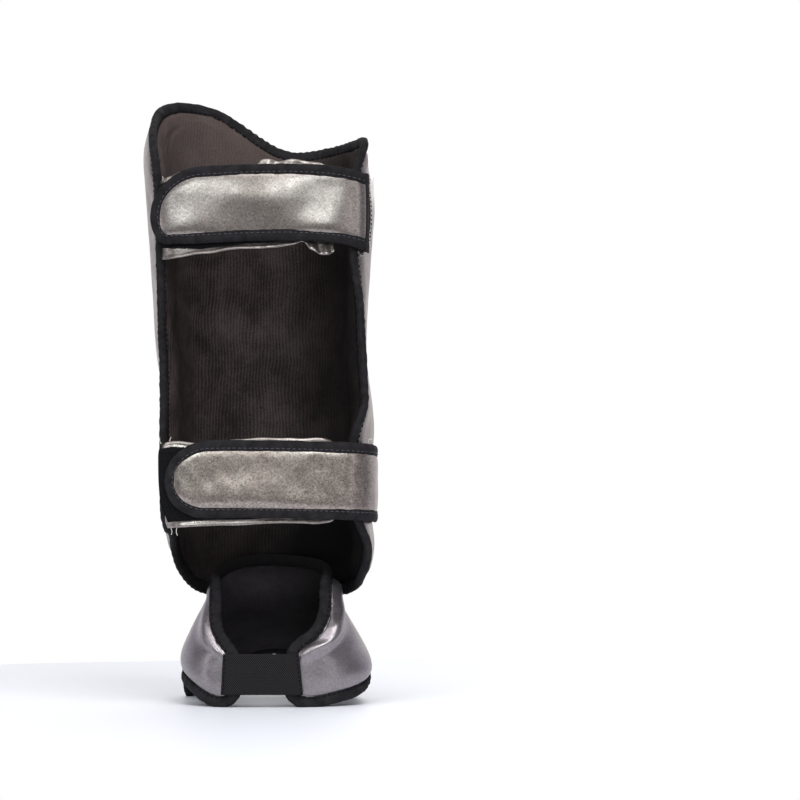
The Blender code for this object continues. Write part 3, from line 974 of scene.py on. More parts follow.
@dataclass(frozen=True)
class TapeCut:
    """The binding tape's profile round an edge, in metres, with its gathers.

    It stands out past the edge line by outer and reaches in over the wall by inner. Its roundness is the
    power of its superellipse outside the edge, where 2 is round, and squarer is what the part on the wall
    adds. Its stitches run in a groove at the stitch line. Where it is crowded, a bulge's height is a strength
    that the gathers gain.
    """

    outer: float = 4.5 * MM
    inner: float = 5.2 * MM
    half: float = 3.2 * MM
    roundness: float = 2.2
    squarer: float = 2.4
    stitch_line: float = 3.5 * MM
    steps: int = 1100
    sides: int = 26
    pucker: float = 0.12 * MM
    gather: float = 0.20 * MM
    gather_pitch: float = 6.0 * MM
    groove: float = 0.4 * MM
    groove_width: float = 0.8 * MM
    crowded: tuple[Bulge, ...] = ()

    def profile(self, turn: Array, pull: Array | float = 1.0) -> tuple[Array, Array]:
        """The profile: a superellipse, pulled in at both stitch lines by a bell curve.

        Args:
            turn: the angles round it, 0 towards the wall.
            pull: how much of its depth the groove has, for all or for each point along the tape.

        Returns:
            (inward, up) at each angle.
        """
        inward, up = rounded_box(turn, self.roundness, self.squarer)
        inward = (self.inner - self.outer) / 2 + (self.outer + self.inner) / 2 * inward
        groove = self.groove * pull * bell(inward - self.stitch_line, self.groove_width)
        return inward, self.half * up - np.sign(up) * groove

    def gathers(self, line: Array, turn: Array, seed: int) -> Array:
        """How far its gathers stand out: sines along it, uneven in place and strength.

        Args:
            line: the edge line.
            turn: the angles round the profile.
            seed: picks the unevenness.

        Returns:
            (steps, sides), in metres.
        """
        along = np.linspace(0, 1, len(line), endpoint=False)[:, None]
        count = round(np.linalg.norm(line - np.roll(line, 1, axis=0), axis=1).sum() / self.gather_pitch)
        uneven = ripple(line, 40 * MM, seed + 6)[:, None]
        folds = np.sin(2 * math.pi * count * along + 1.6 * uneven + 2.2 * np.sin(turn + 0.5))
        strength = np.clip(0.45 + 0.5 * ripple(line, 90 * MM, seed + 7), 0.1, 1.2)
        strength = strength + sum(place.on(line) / MM for place in self.crowded)
        return self.gather * folds * strength[:, None]


@dataclass
class PaddedShell:
    """A padded shell, open at the back: leather and foam outside, lining inside, tape round its edge.

    A level's section is two quarter ellipses in front and side walls that turn in behind them. A share is
    the part of the way round it from the left back edge, 0 to 1.

    Attributes:
        side_share, curl: the share of each side wall, and how far it turns in as a circle, not a parabola.
        side_puff, front_puff, back_puff, lining_puff: how far leather and lining stand up, in millimetres.
        plan_rows, plan_columns, plan_ends: the points that the shell is worked out at.
        hem, tape_edge: how far from the edge line its surfaces end under the tape, and come out from it.
        ridge_reach, left_reach, left_ridge: the ridge's place on the right and left, and its left share.
        ridge_ramp, ridge_floor, ridge_fade: how it rises from the tape, and from which height it begins.
        evening, cloth_evening: how often the surfaces and the cloth's moves are evened out.
        cover_back, cover_edge, lining_front, lining_edge: how far from the middle surface their walls begin.
    """

    name: str
    sections: tuple[Section, ...]
    side_share: float
    curl: float
    lower: tuple[EdgeHeight, ...]
    upper: tuple[EdgeHeight, ...]
    lower_left: Corner
    lower_right: Corner
    upper_left: Corner
    upper_right: Corner
    side_puff: float
    front_puff: float
    back_puff: float
    lining_puff: float
    rows: int
    columns: int
    seed: int
    tape: TapeCut = TapeCut()
    plan_rows: int = 34
    plan_columns: int = 48
    plan_ends: float = 0.45
    corner_reach: float = 9 * MM
    hem: float = 2.2 * MM
    tape_edge: float = 4.8 * MM
    ramp: float = 26 * MM
    lining_ramp: float = 10 * MM
    ridge: float = 0.6 * MM
    ridge_width: float = 5.5 * MM
    ridge_reach: float = 10.5 * MM
    left_reach: float = 10.5 * MM
    left_ridge: float = 1.0
    ridge_ramp: float = 6 * MM
    ridge_floor: float = -20 * MM
    ridge_fade: float = 14 * MM
    valley: float = 0.0
    valley_in: float = 11.5 * MM
    valley_width: float = 6.5 * MM
    leather_gather: float = 0.22 * MM
    gather_in: float = 7 * MM
    leather_sag: float = 0.3 * MM
    lining_sag: float = 0.35 * MM
    lining_gather: float = 0.2 * MM
    evening: int = 20
    cloth_rows: int = 120
    cloth_columns: int = 110
    cloth: Drape = Drape()
    cloth_evening: int = 5
    lining_share: float = 0.6
    sewn: tuple[SewnPatch, ...] = ()
    dark_lining: bool = False
    cover_back: float = 0.8 * MM
    cover_edge: float = 2.1 * MM
    lining_front: float = 1.1 * MM
    lining_edge: float = 2.3 * MM

    def read(self, name: str, z: Array) -> Array:
        """One named column of the sections at heights in millimetres."""
        return hermite([s.z for s in self.sections], [getattr(s, name) for s in self.sections], z)

    def depths(self, z: Array) -> tuple[Array, Array, Array]:
        """(edge_y, wide_y, front_y) at heights in millimetres."""
        return self.read("edge_y", z), self.read("wide_y", z), self.read("front_y", z)

    def point(self, share: Array, z: Array) -> Array:
        """The wall's middle surface.

        In front x and y follow a cosine and a sine, pushed out between them by the square of the sine of
        twice the angle. Behind, x and y leave the widest point as a parabola and a line, or as a quarter
        ellipse, mixed by the curl.

        Args:
            share: the shares of the way round.
            z: the heights in metres.

        Returns:
            The points, with x, y and z on a new last axis.
        """
        share, z = np.broadcast_arrays(np.asarray(share, float), np.asarray(z, float))
        left = share < 0.5
        inward = np.where(left, share, 1 - share)
        wide, edge, square = (
            np.where(left, self.read("left_" + name, z / MM), self.read("right_" + name, z / MM))
            for name in ("wide", "edge", "square")
        )
        edge_y, wide_y, front_y = self.depths(z / MM)
        turn = np.clip((inward - self.side_share) / (0.5 - self.side_share), 0, 1) * math.pi / 2
        square = 1 + square * np.sin(2 * turn) ** 2
        back = np.clip(1 - inward / self.side_share, 0, 1)
        quarter = back * math.pi / 2
        inwards = (1 - self.curl) * back**2 + self.curl * (1 - np.cos(quarter))
        backwards = (1 - self.curl) * back + self.curl * np.sin(quarter)
        x = wide * np.cos(turn) * square + (edge - wide) * inwards
        y = wide_y + (front_y - wide_y) * np.sin(turn) * square - (wide_y - edge_y) * backwards
        return np.stack([x * MM, y * MM, z], -1)

    def edge(self, rows: tuple[EdgeHeight, ...], left: Corner, right: Corner, share: Array) -> Array:
        """Height of an edge: its smooth curve, with both corners rounded towards the middle.

        Args:
            rows: the edge's heights.
            left: its left corner.
            right: its right corner.
            share: the shares of the way round.

        Returns:
            The heights in metres.
        """
        share = np.asarray(share, float)
        z = hermite([r.share for r in rows], [r.z for r in rows], share)
        sign = 1 if rows is self.lower else -1
        for corner, inward in ((left, share), (right, 1 - share)):
            z = z + sign * corner.height * (1 - quarter_ramp(inward, corner.share))
        return z * MM

    def at(self, share: Array, rise: Array) -> Array:
        """The middle surface at a share of the way round and a share of the way up.

        Args:
            share: the shares round.
            rise: the shares up, from the lower edge to the upper.

        Returns:
            The points.
        """
        low = self.edge(self.lower, self.lower_left, self.lower_right, share)
        high = self.edge(self.upper, self.upper_left, self.upper_right, share)
        return self.point(share, low + (high - low) * rise)

    def normal(self, share: Array, rise: Array) -> Array:
        """Unit normal of the middle surface, away from the leg, from small steps along it.

        Args:
            share: the shares round.
            rise: the shares up.

        Returns:
            One normal for each.
        """
        step, lift = 1e-3, 0.1 * MM
        low, high = np.clip(share - step, 0, 1), np.clip(share + step, 0, 1)
        z = self.at(share, rise)[..., 2]
        up = self.point(share, z + lift) - self.point(share, z - lift)
        return unit(np.cross(up, self.point(high, z) - self.point(low, z)))

    def rims(self) -> list[tuple[Array, Array]]:
        """The edge as four lines of (share, rise): left, top, right and bottom."""
        across, up = end_spaced(260, 0.9), np.linspace(0, 1, 90)
        return [(0 * up, up), (across, 0 * across + 1), (0 * up + 1, up[::-1]), (across[::-1], 0 * across)]

    def loop(self, count: int) -> tuple[Array, Array]:
        """The edge line with its corners softened by a moving mean, and the wall's normals along it.

        Args:
            count: how many points it has.

        Returns:
            (points, normals), each (count, 3). The line closes on itself.
        """
        rows = [np.concatenate([self.at(s, r), self.normal(s, r)], axis=1)[:-1] for s, r in self.rims()]
        fine = evenly(closed_up(np.concatenate(rows)), 1501)[:-1]
        reach = round(self.corner_reach / np.linalg.norm(fine[1, :3] - fine[0, :3]))
        soft = np.mean([np.roll(fine, shift, axis=0) for shift in range(-reach, reach + 1)], axis=0)
        even = evenly(closed_up(soft), count + 1)[:-1]
        return even[:, :3], unit(even[:, 3:])

    def plan(self, line: Array) -> tuple[Array, Array, Array, Array]:
        """The middle surface inside its hem, coarsely: each row and column starts where it is clear of the edge.

        Args:
            line: the softened edge line.

        Returns:
            (points, distances from the edge line, distances from the back rims, nearest edge points).
        """
        fine = np.linspace(0, 1, 241)
        left, top, right, bottom = (self.at(s, r) for s, r in self.rims())

        def clear(points: Array, rim: Array) -> float:
            """The first share at which a row of points is clear of a rim by the hem."""
            return fine[np.argmax(nearest(points, rim)[0] >= self.hem)]

        ends = end_spaced(self.plan_rows, self.plan_ends)
        sides = [
            (clear(self.at(fine, rise), left), 1 - clear(self.at(1 - fine, rise), right)) for rise in ends
        ]
        points = np.zeros((self.plan_rows, self.plan_columns, 3))
        for j, across in enumerate(end_spaced(self.plan_columns, self.plan_ends)):
            shares = np.array([low + (high - low) * across for low, high in sides])
            middle = shares.mean()
            floor = clear(self.at(middle, fine), bottom)
            ceiling = 1 - clear(self.at(middle, 1 - fine), top)
            points[:, j] = self.at(shares, floor + (ceiling - floor) * ends)
        flat = points.reshape(-1, 3)
        apart, index = nearest(flat, line)
        flat += unit(flat - line[index]) * np.clip(self.hem - apart, 0, None)[:, None]
        back, _ = nearest(flat, np.concatenate([left, right]))
        shape = points.shape[:2]
        return points, np.maximum(apart, self.hem).reshape(shape), back.reshape(shape), line[index].reshape(*shape, 3)

    def outside(self, apart: Array, back: Array, share: Array, z: Array) -> Array:
        """How far the leather stands off the middle surface.

        It rises from the tape as a quarter circle, highest in front. Along the back rims it stands up in a
        ridge, with a valley behind it, both of them bell curves of the distance from the rim, above a height.

        Args:
            apart: the distances from the edge line.
            back: the distances from the back rims.
            share: the shares of the way round.
            z: the heights in metres.

        Returns:
            The distances, in metres.
        """
        inward = np.clip(1 - np.minimum(share, 1 - share) / self.side_share, 0, 1)
        puff = self.side_puff + self.front_puff * np.sin(math.pi * share) ** 2
        puff = puff + (self.back_puff - self.side_puff) * inward
        rise = quarter_ramp(apart - self.tape_edge, self.ramp)
        free = quarter_ramp(apart - self.tape_edge, self.ridge_ramp)
        free = free * smooth_step(z, self.ridge_floor, self.ridge_floor + self.ridge_fade)
        left = share < 0.5
        behind = back - np.where(left, self.left_reach, self.ridge_reach)
        ridge = self.ridge * np.where(left, self.left_ridge, 1.0) * bell(behind, self.ridge_width)
        valley = self.valley * bell(behind - self.valley_in, self.valley_width)
        return self.cover_edge + puff * MM * rise + (ridge - valley) * free

    def outer_point(self, y: Array, z: Array, lift: float) -> Array:
        """A point on the right side of the leather.

        The share comes from the depth: straight along the side wall, then as a sine.

        Args:
            y: its depth on the middle surface, in metres, from the back rim's line.
            z: its height in metres.
            lift: how far it stands off the leather.

        Returns:
            The points.
        """
        edge_y, wide_y, front_y = (depth * MM for depth in self.depths(z / MM))
        back = np.clip((wide_y - y) / (wide_y - edge_y), 0, 1)
        turn = np.arcsin(np.clip((y - wide_y) / (front_y - wide_y), 0, 1)) / (math.pi / 2)
        share = 1 - self.side_share * (1 - back) - (0.5 - self.side_share) * turn
        step = 1e-3
        up = self.point(share, z + step) - self.point(share, z - step)
        across = self.point(share + step, z) - self.point(share - step, z)
        rim = np.abs(y - edge_y)
        depth = self.outside(rim, rim, share, z) + lift
        return self.point(share, z) + unit(np.cross(up, across)) * depth[..., None]

    def inside(self, apart: Array) -> Array:
        """How far the lining stands off the middle surface, rising from the tape as a quarter circle."""
        return self.lining_edge + self.lining_puff * MM * quarter_ramp(apart - self.tape_edge, self.lining_ramp)

    def build(self, finishes: Wardrobe) -> None:
        """Makes the leather, the lining, the tape and its stitches.

        The leather and the lining are the middle surface moved out and in along its normals by their depth,
        which is even but for gathers near the tape and slow waves away from it, and by the cloth's moves.

        Args:
            finishes: the materials.
        """
        line, normals = self.loop(self.tape.steps)
        plan = self.plan(line)
        points, apart, back, edge = (
            smoothed(finer_grid(v, self.rows, self.columns), self.evening) for v in plan
        )
        base, near, behind = (
            smoothed(finer_grid(v, self.cloth_rows, self.cloth_columns), self.evening // 3) for v in plan[:3]
        )
        out, base_out = grid_normals(points), grid_normals(base)
        share, base_share = np.linspace(0, 1, self.columns), np.linspace(0, 1, self.cloth_columns)
        gathered = bell(apart - self.tape_edge, self.gather_in)
        gathered *= smooth_step(apart, self.tape_edge - 0.2 * MM, self.tape_edge + 1.4 * MM)
        slack = quarter_ramp(apart - self.tape_edge, self.ramp)

        start = base + base_out * self.outside(near, behind, base_share, base[..., 2])[..., None]
        held = near < self.tape_edge
        for patch in self.sewn:
            held = held | patch.holds(start)
        moved = finer_grid(smoothed(self.cloth.settle(start, held), self.cloth_evening), self.rows, self.columns)
        depth = self.outside(apart, back, share, points[..., 2])
        depth += self.leather_gather * gathered * ripple(edge, 10 * MM, self.seed)
        depth += self.leather_sag * slack * ripple(points, 70 * MM, self.seed + 1)
        front = points + out * depth[..., None] + moved
        cover = wall(self.name + "_pad_leather", front, points - out * self.cover_back)
        leather = finishes.instep_leather if self.dark_lining else finishes.shin_leather
        dress(cover, leather, Slot.LEATHER, (self.name + "_cover",), Form.PADDED, fill=0.7)

        start = base - base_out * self.inside(near)[..., None]
        moved = self.cloth.settle(start[:, ::-1], (near < self.tape_edge)[:, ::-1])[:, ::-1]
        moved = finer_grid(moved, self.rows, self.columns) * self.lining_share
        depth = self.inside(apart) + self.lining_gather * gathered * ripple(edge, 14 * MM, self.seed + 2)
        depth += self.lining_sag * slack * ripple(points, 45 * MM, self.seed + 3)
        front = points - out * depth[..., None] + moved
        lining = wall(self.name + "_pad_lining", front, points - out * self.lining_front)
        cloth = finishes.dark_lining if self.dark_lining else finishes.lining
        dress(lining, cloth, Slot.LINING, (self.name + "_lining",), Form.PADDED, fill=0.5)
        self.bind(finishes, line, normals)

    def bind(self, finishes: Wardrobe, line: Array, normals: Array) -> None:
        """Makes the tape and two rows of stitches: the tape's profile carried along the edge line.

        Args:
            finishes: the materials.
            line: the edge line.
            normals: the wall's normals along it.
        """
        cut = self.tape
        ahead = unit(np.roll(line, -1, axis=0) - np.roll(line, 1, axis=0))
        inward = unit(np.cross(normals, ahead))
        normals = unit(np.cross(ahead, inward))
        turn = angles(cut.sides)
        a, b = cut.profile(turn)
        points = line[:, None] + inward[:, None] * a[:, None] + normals[:, None] * b[:, None]
        swell = unit(points - line[:, None])
        height = cut.gathers(line, turn, self.seed) + cut.pucker * ripple(points, 8 * MM, self.seed + 5)
        points += swell * height[..., None]
        points[..., 2] = np.maximum(points[..., 2], 0)
        made = tube(self.name + "_edge_tape", points, closed=True)
        dress(made, finishes.tape, Slot.TAPE, (self.name + "_binding",))
        lines = []
        for side in (1, -1):
            row = line + inward * cut.stitch_line + normals * side * (cut.half - cut.groove * 0.6)
            lines.append((closed_up(row), closed_up(normals) * side))
        stitches = Thread().row(self.name + "_tape_stitches", lines)
        dress(stitches, finishes.black_thread, Slot.TAPE)


def shin_shell() -> PaddedShell:
    """The shell round the shin and calf, with its sizes."""
    return PaddedShell(
        name="shin",
        sections=table(
            Section,
            (88, -72.0, -68.0, 71.0, 72.0, 12, 30, 90),
            (107, -74.0, -73.0, 75.0, 79.5, 8, 30, 91),
            (118, -75.0, -74.5, 75.5, 80.5, 5, 31, 91),
            (130, -76.5, -74.3, 76.0, 79.5, 3, 32, 91),
            (143, -78.0, -74.4, 73.8, 72.4, 1, 33, 91),
            (152, -78.5, -74.7, 73.2, 69.5, 0, 34, 91),
            (176, -79.5, -75.2, 72.6, 66.5, 0, 35, 92),
            (198, -79.5, -75.4, 72.8, 67.0, 0, 36, 93),
            (216, -79.5, -75.7, 74.8, 70.6, 0, 36, 94),
            (229, -79.4, -75.9, 74.8, 76.2, 0, 37, 95),
            (260, -79.7, -77.2, 71.5, 76.4, 0, 37, 97),
            (290, -81.0, -79.9, 70.8, 74.8, 0, 38, 99),
            (320, -82.0, -81.5, 71.8, 73.0, 0, 38, 100),
            (348, -82.8, -83.2, 73.8, 68.6, 0, 39, 101),
            (392, -84.0, -86.2, 75.5, 66.0, 0, 40, 103),
            (420, -86.0, -88.7, 73.5, 70.5, 1, 41, 106),
            (440, -88.5, -91.2, 72.5, 78.0, 2, 42, 109),
            (489, -90.0, -92.5, 74.0, 79.0, 10, 46, 119),
        ),
        side_share=0.12, curl=0.0,
        lower=table(
            EdgeHeight,
            (0.00, 133), (0.06, 139), (0.12, 132), (0.17, 119), (0.20, 110), (0.23, 102), (0.26, 95.5),
            (0.29, 91), (0.33, 89.5), (0.50, 90), (0.72, 90), (0.76, 91.5), (0.80, 94.5), (0.85, 97.5),
            (0.88, 99.5), (0.94, 103.5), (1.00, 102),
        ),
        upper=table(
            EdgeHeight,
            (0.00, 447), (0.06, 451), (0.12, 461), (0.20, 475.5), (0.30, 484), (0.38, 480), (0.44, 465.5),
            (0.50, 450), (0.565, 444), (0.61, 445), (0.68, 447.5), (0.75, 449), (0.80, 448.5), (0.87, 446),
            (1.00, 442),
        ),
        lower_left=Corner(0.05, 15), lower_right=Corner(0.07, 24),
        upper_left=Corner(0.07, 26), upper_right=Corner(0.02, 4),
        side_puff=4.6, front_puff=10, back_puff=4.6, lining_puff=4.6,
        rows=220, columns=170, seed=11,
        tape=TapeCut(crowded=(Bulge(-14, 460, 26, 24, 2.0), Bulge(79, 240, 12, 12, 0.9))),
        sewn=(SewnPatch((60, -10, 350), (95, 36, 420)), SewnPatch((60, -10, 141), (95, 54, 206))),
    )


def instep_shell() -> PaddedShell:
    """The pad over the instep, with its sizes."""
    return PaddedShell(
        name="instep",
        sections=table(
            Section,
            (0, -22, -70.0, 79.0, 18, 3, 50, 165, 0.26, 0.06),
            (14, -22, -67.5, 79.0, 18, 3, 50, 164, 0.24, 0.06),
            (30, -22, -64.0, 76.5, 18, 3, 50, 160, 0.17, 0.06),
            (41, -24, -60.5, 69.5, 20, 3, 49, 151, 0.12, 0.06),
            (49, -31, -57.0, 65.5, 26, 6, 49, 134, 0.08, 0.05),
            (57, -37, -53.0, 61.0, 39, 10, 48, 116, 0.05, 0.04),
            (66, -39, -48.5, 56.0, 43, 15, 47, 98, 0.03, 0.03),
            (75, -40, -44.5, 52.3, 46, 21, 46, 80, 0.02, 0.02),
            (80, -40, -43.0, 50.8, 46, 24, 46, 74, 0.00, 0.00),
            (86, -40, -42.0, 49.5, 46, 26, 46, 70.6, 0.00, 0.00),
            (92, -40, -41.6, 49.0, 46, 29, 46, 70.5, 0.00, 0.00),
            (98, -40, -41.5, 48.5, 46, 31, 46, 76.6, 0.00, 0.00),
            (105, -40, -41.5, 48.2, 46, 33, 46, 78.8, 0.00, 0.00),
            (112, -40, -41.5, 48.0, 46, 34, 46, 79, 0.00, 0.00),
        ),
        side_share=0.2, curl=1.0,
        lower=table(
            EdgeHeight,
            (0.000, 4), (0.035, 2.9), (0.076, 8), (0.105, 13.5), (0.140, 18.5), (0.200, 23), (0.255, 24.5),
            (0.292, 15), (0.325, 1), (0.362, 12), (0.420, 28), (0.460, 35.5), (0.510, 37.5), (0.550, 34),
            (0.595, 23), (0.630, 10), (0.655, 1), (0.690, 14), (0.745, 29), (0.800, 20), (0.870, 11),
            (0.930, 6), (0.963, 2.9), (1.000, 4),
        ),
        upper=table(
            EdgeHeight,
            (0.00, 99), (0.10, 99.5), (0.20, 101), (0.30, 107), (0.40, 112), (0.60, 112), (0.70, 109),
            (0.80, 103.5), (0.90, 102), (1.00, 102),
        ),
        lower_left=Corner(0.03, 9), lower_right=Corner(0.03, 9),
        upper_left=Corner(0.03, 1), upper_right=Corner(0.03, 1),
        side_puff=4.1, front_puff=4.5, back_puff=1.6, lining_puff=1.5,
        rows=130, columns=200, seed=31, ramp=14 * MM, lining_ramp=8 * MM,
        ridge=4.4 * MM, ridge_floor=34 * MM, left_ridge=0.45, left_reach=7 * MM, valley=1.5 * MM,
        leather_gather=0.05 * MM, leather_sag=0.1 * MM, dark_lining=True,
        cloth=Drape(slack=0.003, cap=1.6 * MM), cloth_rows=48, cloth_columns=150, tape=TapeCut(steps=800),
    )


# Straps


class Course:
    """The course of an upright band: a smooth plan curve with the height of the band's middle."""

    def __init__(self, route: Array) -> None:
        """Works the curve out from the route's points, in metres."""
        knots = lengths_along(route[:, :2] @ np.eye(2, 3))
        self.lengths = np.linspace(0, knots[-1], 500)
        self.line = np.stack([hermite(knots, route[:, k], self.lengths) for k in range(3)], -1)
        flat = unit(np.gradient(self.line[:, :2], axis=0))
        self.ahead = np.stack([flat[:, 0], flat[:, 1], 0 * flat[:, 0]], -1)
        self.inside = np.stack([flat[:, 1], -flat[:, 0], 0 * flat[:, 0]], -1)

    def read(self, values: Array, length: Array) -> Array:
        """Three columns of values at a length along the course."""
        return read_along(length, self.lengths, values)

    def at(self, length: Array, inward: Array, up: Array) -> Array:
        """Points at a length along the course, moved towards the leg and up."""
        length, inward, up = np.broadcast_arrays(length, inward, up)
        return self.read(self.line, length) + self.read(self.inside, length) * inward[..., None] + UP * up[..., None]


@dataclass(frozen=True)
class Tip:
    """A strap's rounded end: how long its upper and lower quarter are, and how far its point hangs low."""

    upper: float
    lower: float
    drop: float


@dataclass(frozen=True)
class HemHeight:
    """The heights in millimetres of a flap's upper and lower edge at a distance across."""

    x: float
    upper: float
    lower: float


@dataclass
class ClosureStrap:
    """A leather band in a frame of tape, backed with hook cloth, closed over a leather flap with loops.

    Attributes:
        route: (x, y, z) in millimetres along the band, from the root on the right to the tip on the left.
        flap_root: (x, y) in millimetres of the flap's first points, on the rim's tape.
        crumple_x, crumple, lower_crumple: from where the flap's hems are crumpled, and how deep.
        fold: the length along the route at which the band begins.
        flap_depth, flap_half: how far behind the band the flap lies, and half its thickness.
        curl, flare, curl_width: how far its upper edge turns in and its lower one out, and over what width.
        bare_hem: (x, more of the loops' inset below), in millimetres.
        root_slant, root_tuck: how much later the flap's lower end starts, and how much further forward.
    """

    name: str
    route: tuple[Place, ...]
    tip: Tip
    bulges: tuple[Bulge, ...]
    flap_root: tuple[tuple[float, float], ...]
    hems: tuple[HemHeight, ...]
    crumple_x: float
    crumple: float
    seed: int
    fold: float
    ripple: float = 0.25 * MM
    ripple_length: float = 40 * MM
    flap_end_x: float = 58 * MM
    flap_corner: float = 9 * MM
    half_height: float = 30.2 * MM
    tape: TapeCut = TapeCut(
        outer=4.6 * MM, inner=4.6 * MM, half=2.25 * MM, roundness=2.3, squarer=2.2, stitch_line=1.9 * MM,
        steps=520, groove=0.6 * MM, groove_width=1.1 * MM,
    )
    band_half: float = 1.5 * MM
    under_tape: float = 2.4 * MM
    crown: float = 1.1 * MM
    crown_ramp: float = 10 * MM
    flap_depth: float = 5.75 * MM
    flap_half: float = 0.9 * MM
    hem_width: float = 2.6 * MM
    hem_roll: float = 0.5 * MM
    curl: float = 2.0 * MM
    flare: float = 0.0
    curl_width: float = 11 * MM
    loose_width: float = 7 * MM
    lower_crumple: float = 0.0
    patch_start: float = 1.6 * MM
    patch_inset: float = 4.5 * MM
    patch_half: float = 0.8 * MM
    bare_hem: tuple[tuple[float, float], ...] = ((0, 0),)
    # Whether the band takes the leather copy with painted light.
    painted_lighting: bool = False
    root_slant: float = 0.0
    root_tuck: float = 0.0

    def __post_init__(self) -> None:
        """Works out the band's course."""
        self.course = Course(np.array(self.route) * MM)
        self.whole = self.course.lengths[-1]

    def outline(self, inset: float, turn: Array) -> tuple[Array, Array]:
        """The band's outline round the tip: two quarter ellipses.

        Args:
            inset: how far in from its edge.
            turn: the angles, from 0 at the upper root to pi at the lower one.

        Returns:
            (lengths along the course, heights above it).
        """
        upper = turn < math.pi / 2
        reach = np.where(upper, self.tip.upper, self.tip.lower)
        half = self.half_height - inset
        tall = np.where(upper, half + self.tip.drop, half - self.tip.drop)
        return self.whole - reach + (reach - inset) * np.sin(turn), tall * np.cos(turn) - self.tip.drop

    def border(self, inset: float, count: int) -> Array:
        """The band's border from its upper root round the tip to its lower root.

        Args:
            inset: how far in from its edge.
            count: how many points it has, an even distance apart.

        Returns:
            (length, up) of each.
        """
        length, up = self.outline(inset, np.linspace(0, math.pi, 81))
        path = np.stack([np.pad(length, 1, constant_values=self.fold), np.pad(up, 1, mode="edge")], -1)
        return evenly(path @ np.eye(2, 3), count)[:, :2]

    def build(self, finishes: Wardrobe) -> None:
        """Makes the band, its backing, tape, stitches, flap and loops."""
        self.band(finishes)
        self.bind(finishes)
        self.flap(finishes)

    def band(self, finishes: Wardrobe) -> None:
        """Makes the leather band and the hook cloth behind it.

        The band's rows run between the two borders. Its face is a crown, flat but for its edges as the
        eighth power of the way across, with bulges and ripples.

        Args:
            finishes: the materials.
        """
        border = self.border(self.tape.outer + self.tape.inner - self.under_tape, 801)
        half = len(border) // 2
        end = border[half, 0] - 0.1 * MM
        at = self.fold + (end - self.fold) * end_spaced(190, 0.5)
        top = np.interp(at, border[: half + 1, 0], border[: half + 1, 1])
        low = np.interp(at, border[half:, 0][::-1], border[half:, 1][::-1])
        rows = np.linspace(0, 1, 52)[:, None]
        up = low + (top - low) * rows
        crown = (1 - (2 * rows - 1) ** 8) * quarter_ramp(end - at, self.crown_ramp)
        flat = self.course.at(at, 0.0, up)
        height = self.crown + self.ripple * ripple(flat, self.ripple_length, self.seed)
        height = height + sum(bulge.on(flat) for bulge in self.bulges)
        face = -(self.band_half - 0.35 * MM) - height * crown
        made = wall(self.name + "_band_leather", self.course.at(at, face, up), self.course.at(at, 0.2 * MM, up))
        # The lower strap takes the copy of the leather with painted light.
        leather = finishes.lit_strap_leather if self.painted_lighting else finishes.strap_leather
        dress(made, leather, Slot.LEATHER, (self.name + "_strap",), Form.PADDED, fill=0.5)
        front, back = (self.course.at(at, depth, up) for depth in (0.5 * MM, self.band_half))
        dress(wall(self.name + "_band_hooks", front, back), finishes.loops, Slot.LOOPS)

    def bind(self, finishes: Wardrobe) -> None:
        """Makes the tape round three sides of the band, and its stitches front and back.

        The tape's profile is carried along the border's middle line, and its groove is deepest at the
        stitches' holes, as the square of a cosine.

        Args:
            finishes: the materials.
        """
        cut = self.tape
        middle = self.border(cut.outer, cut.steps)
        slope = unit(np.gradient(middle, axis=0))
        ahead = self.course.read(self.course.ahead, middle[:, 0])
        out = -self.course.read(self.course.inside, middle[:, 0])
        line = self.course.at(middle[:, 0], 0.0, middle[:, 1])
        inward = ahead * slope[:, 1:] - UP * slope[:, :1]
        whole = lengths_along(line)
        pitch = whole[-1] / int(whole[-1] / Thread().pitch)
        a, b = cut.profile(angles(cut.sides), 0.45 + 0.55 * np.cos(2 * math.pi * whole / pitch)[:, None] ** 2)
        points = line[:, None] + inward[:, None] * a[:, None] + out[:, None] * b[..., None]
        rough = cut.pucker * ripple(points, 8 * MM, self.seed + 4) + 0.1 * MM * ripple(points, 30 * MM, self.seed + 5)
        points += unit(points - line[:, None]) * rough[..., None]
        made = tube(self.name + "_band_tape", points, closed=False)
        dress(made, finishes.tape, Slot.TAPE, (self.name + "_strap_binding",))
        lines = [
            (line + inward * cut.stitch_line + out * side * (cut.half - cut.groove * 0.6), out * side)
            for side in (1, -1)
        ]
        dress(Thread().row(self.name + "_tape_stitches", lines), finishes.sheen_painted_thread, Slot.TAPE)

    def flap_course(self) -> Course:
        """The flap's course: from its root on the tape, then behind the band at the flap's depth.

        It runs the other way than the band's, so that a way to its inside is a way out to the band.

        Returns:
            The course, at the height 0.
        """
        course = self.course
        turned = self.flap_root[-1][0] * MM + 5 * MM
        shown = (course.line[:, 0] < self.flap_end_x) & (course.line[:, 0] > turned)
        under = course.at(course.lengths[shown][::-1][::20], self.flap_depth, 0.0)
        root = np.array([(x, y, 0.0) for x, y in self.flap_root]) * MM
        return Course(np.concatenate([root, under]) * (1, 1, 0))

    def hem_heights(self, x: Array) -> tuple[Array, Array]:
        """The heights of the flap's long edges, its end corners rounded as quarter circles.

        Args:
            x: where they are read, in metres.

        Returns:
            (lower, upper) in metres.
        """
        x = np.minimum(x, self.flap_end_x - 0.2 * MM)
        xs = [hem.x for hem in self.hems]
        upper, lower = (
            hermite(xs, [getattr(hem, name) for hem in self.hems], x / MM) * MM for name in ("upper", "lower")
        )
        cut = self.flap_corner * (1 - quarter_ramp(self.flap_end_x - x, self.flap_corner))
        return lower + cut, upper - cut

    def turned_in(self, upper: Array, edge: Array) -> Array:
        """How far the flap turns away from the band: a parabola of the distance from its upper or lower edge."""
        return np.where(upper, self.curl, -self.flare) * np.clip(1 - edge / self.curl_width, 0, 1) ** 2

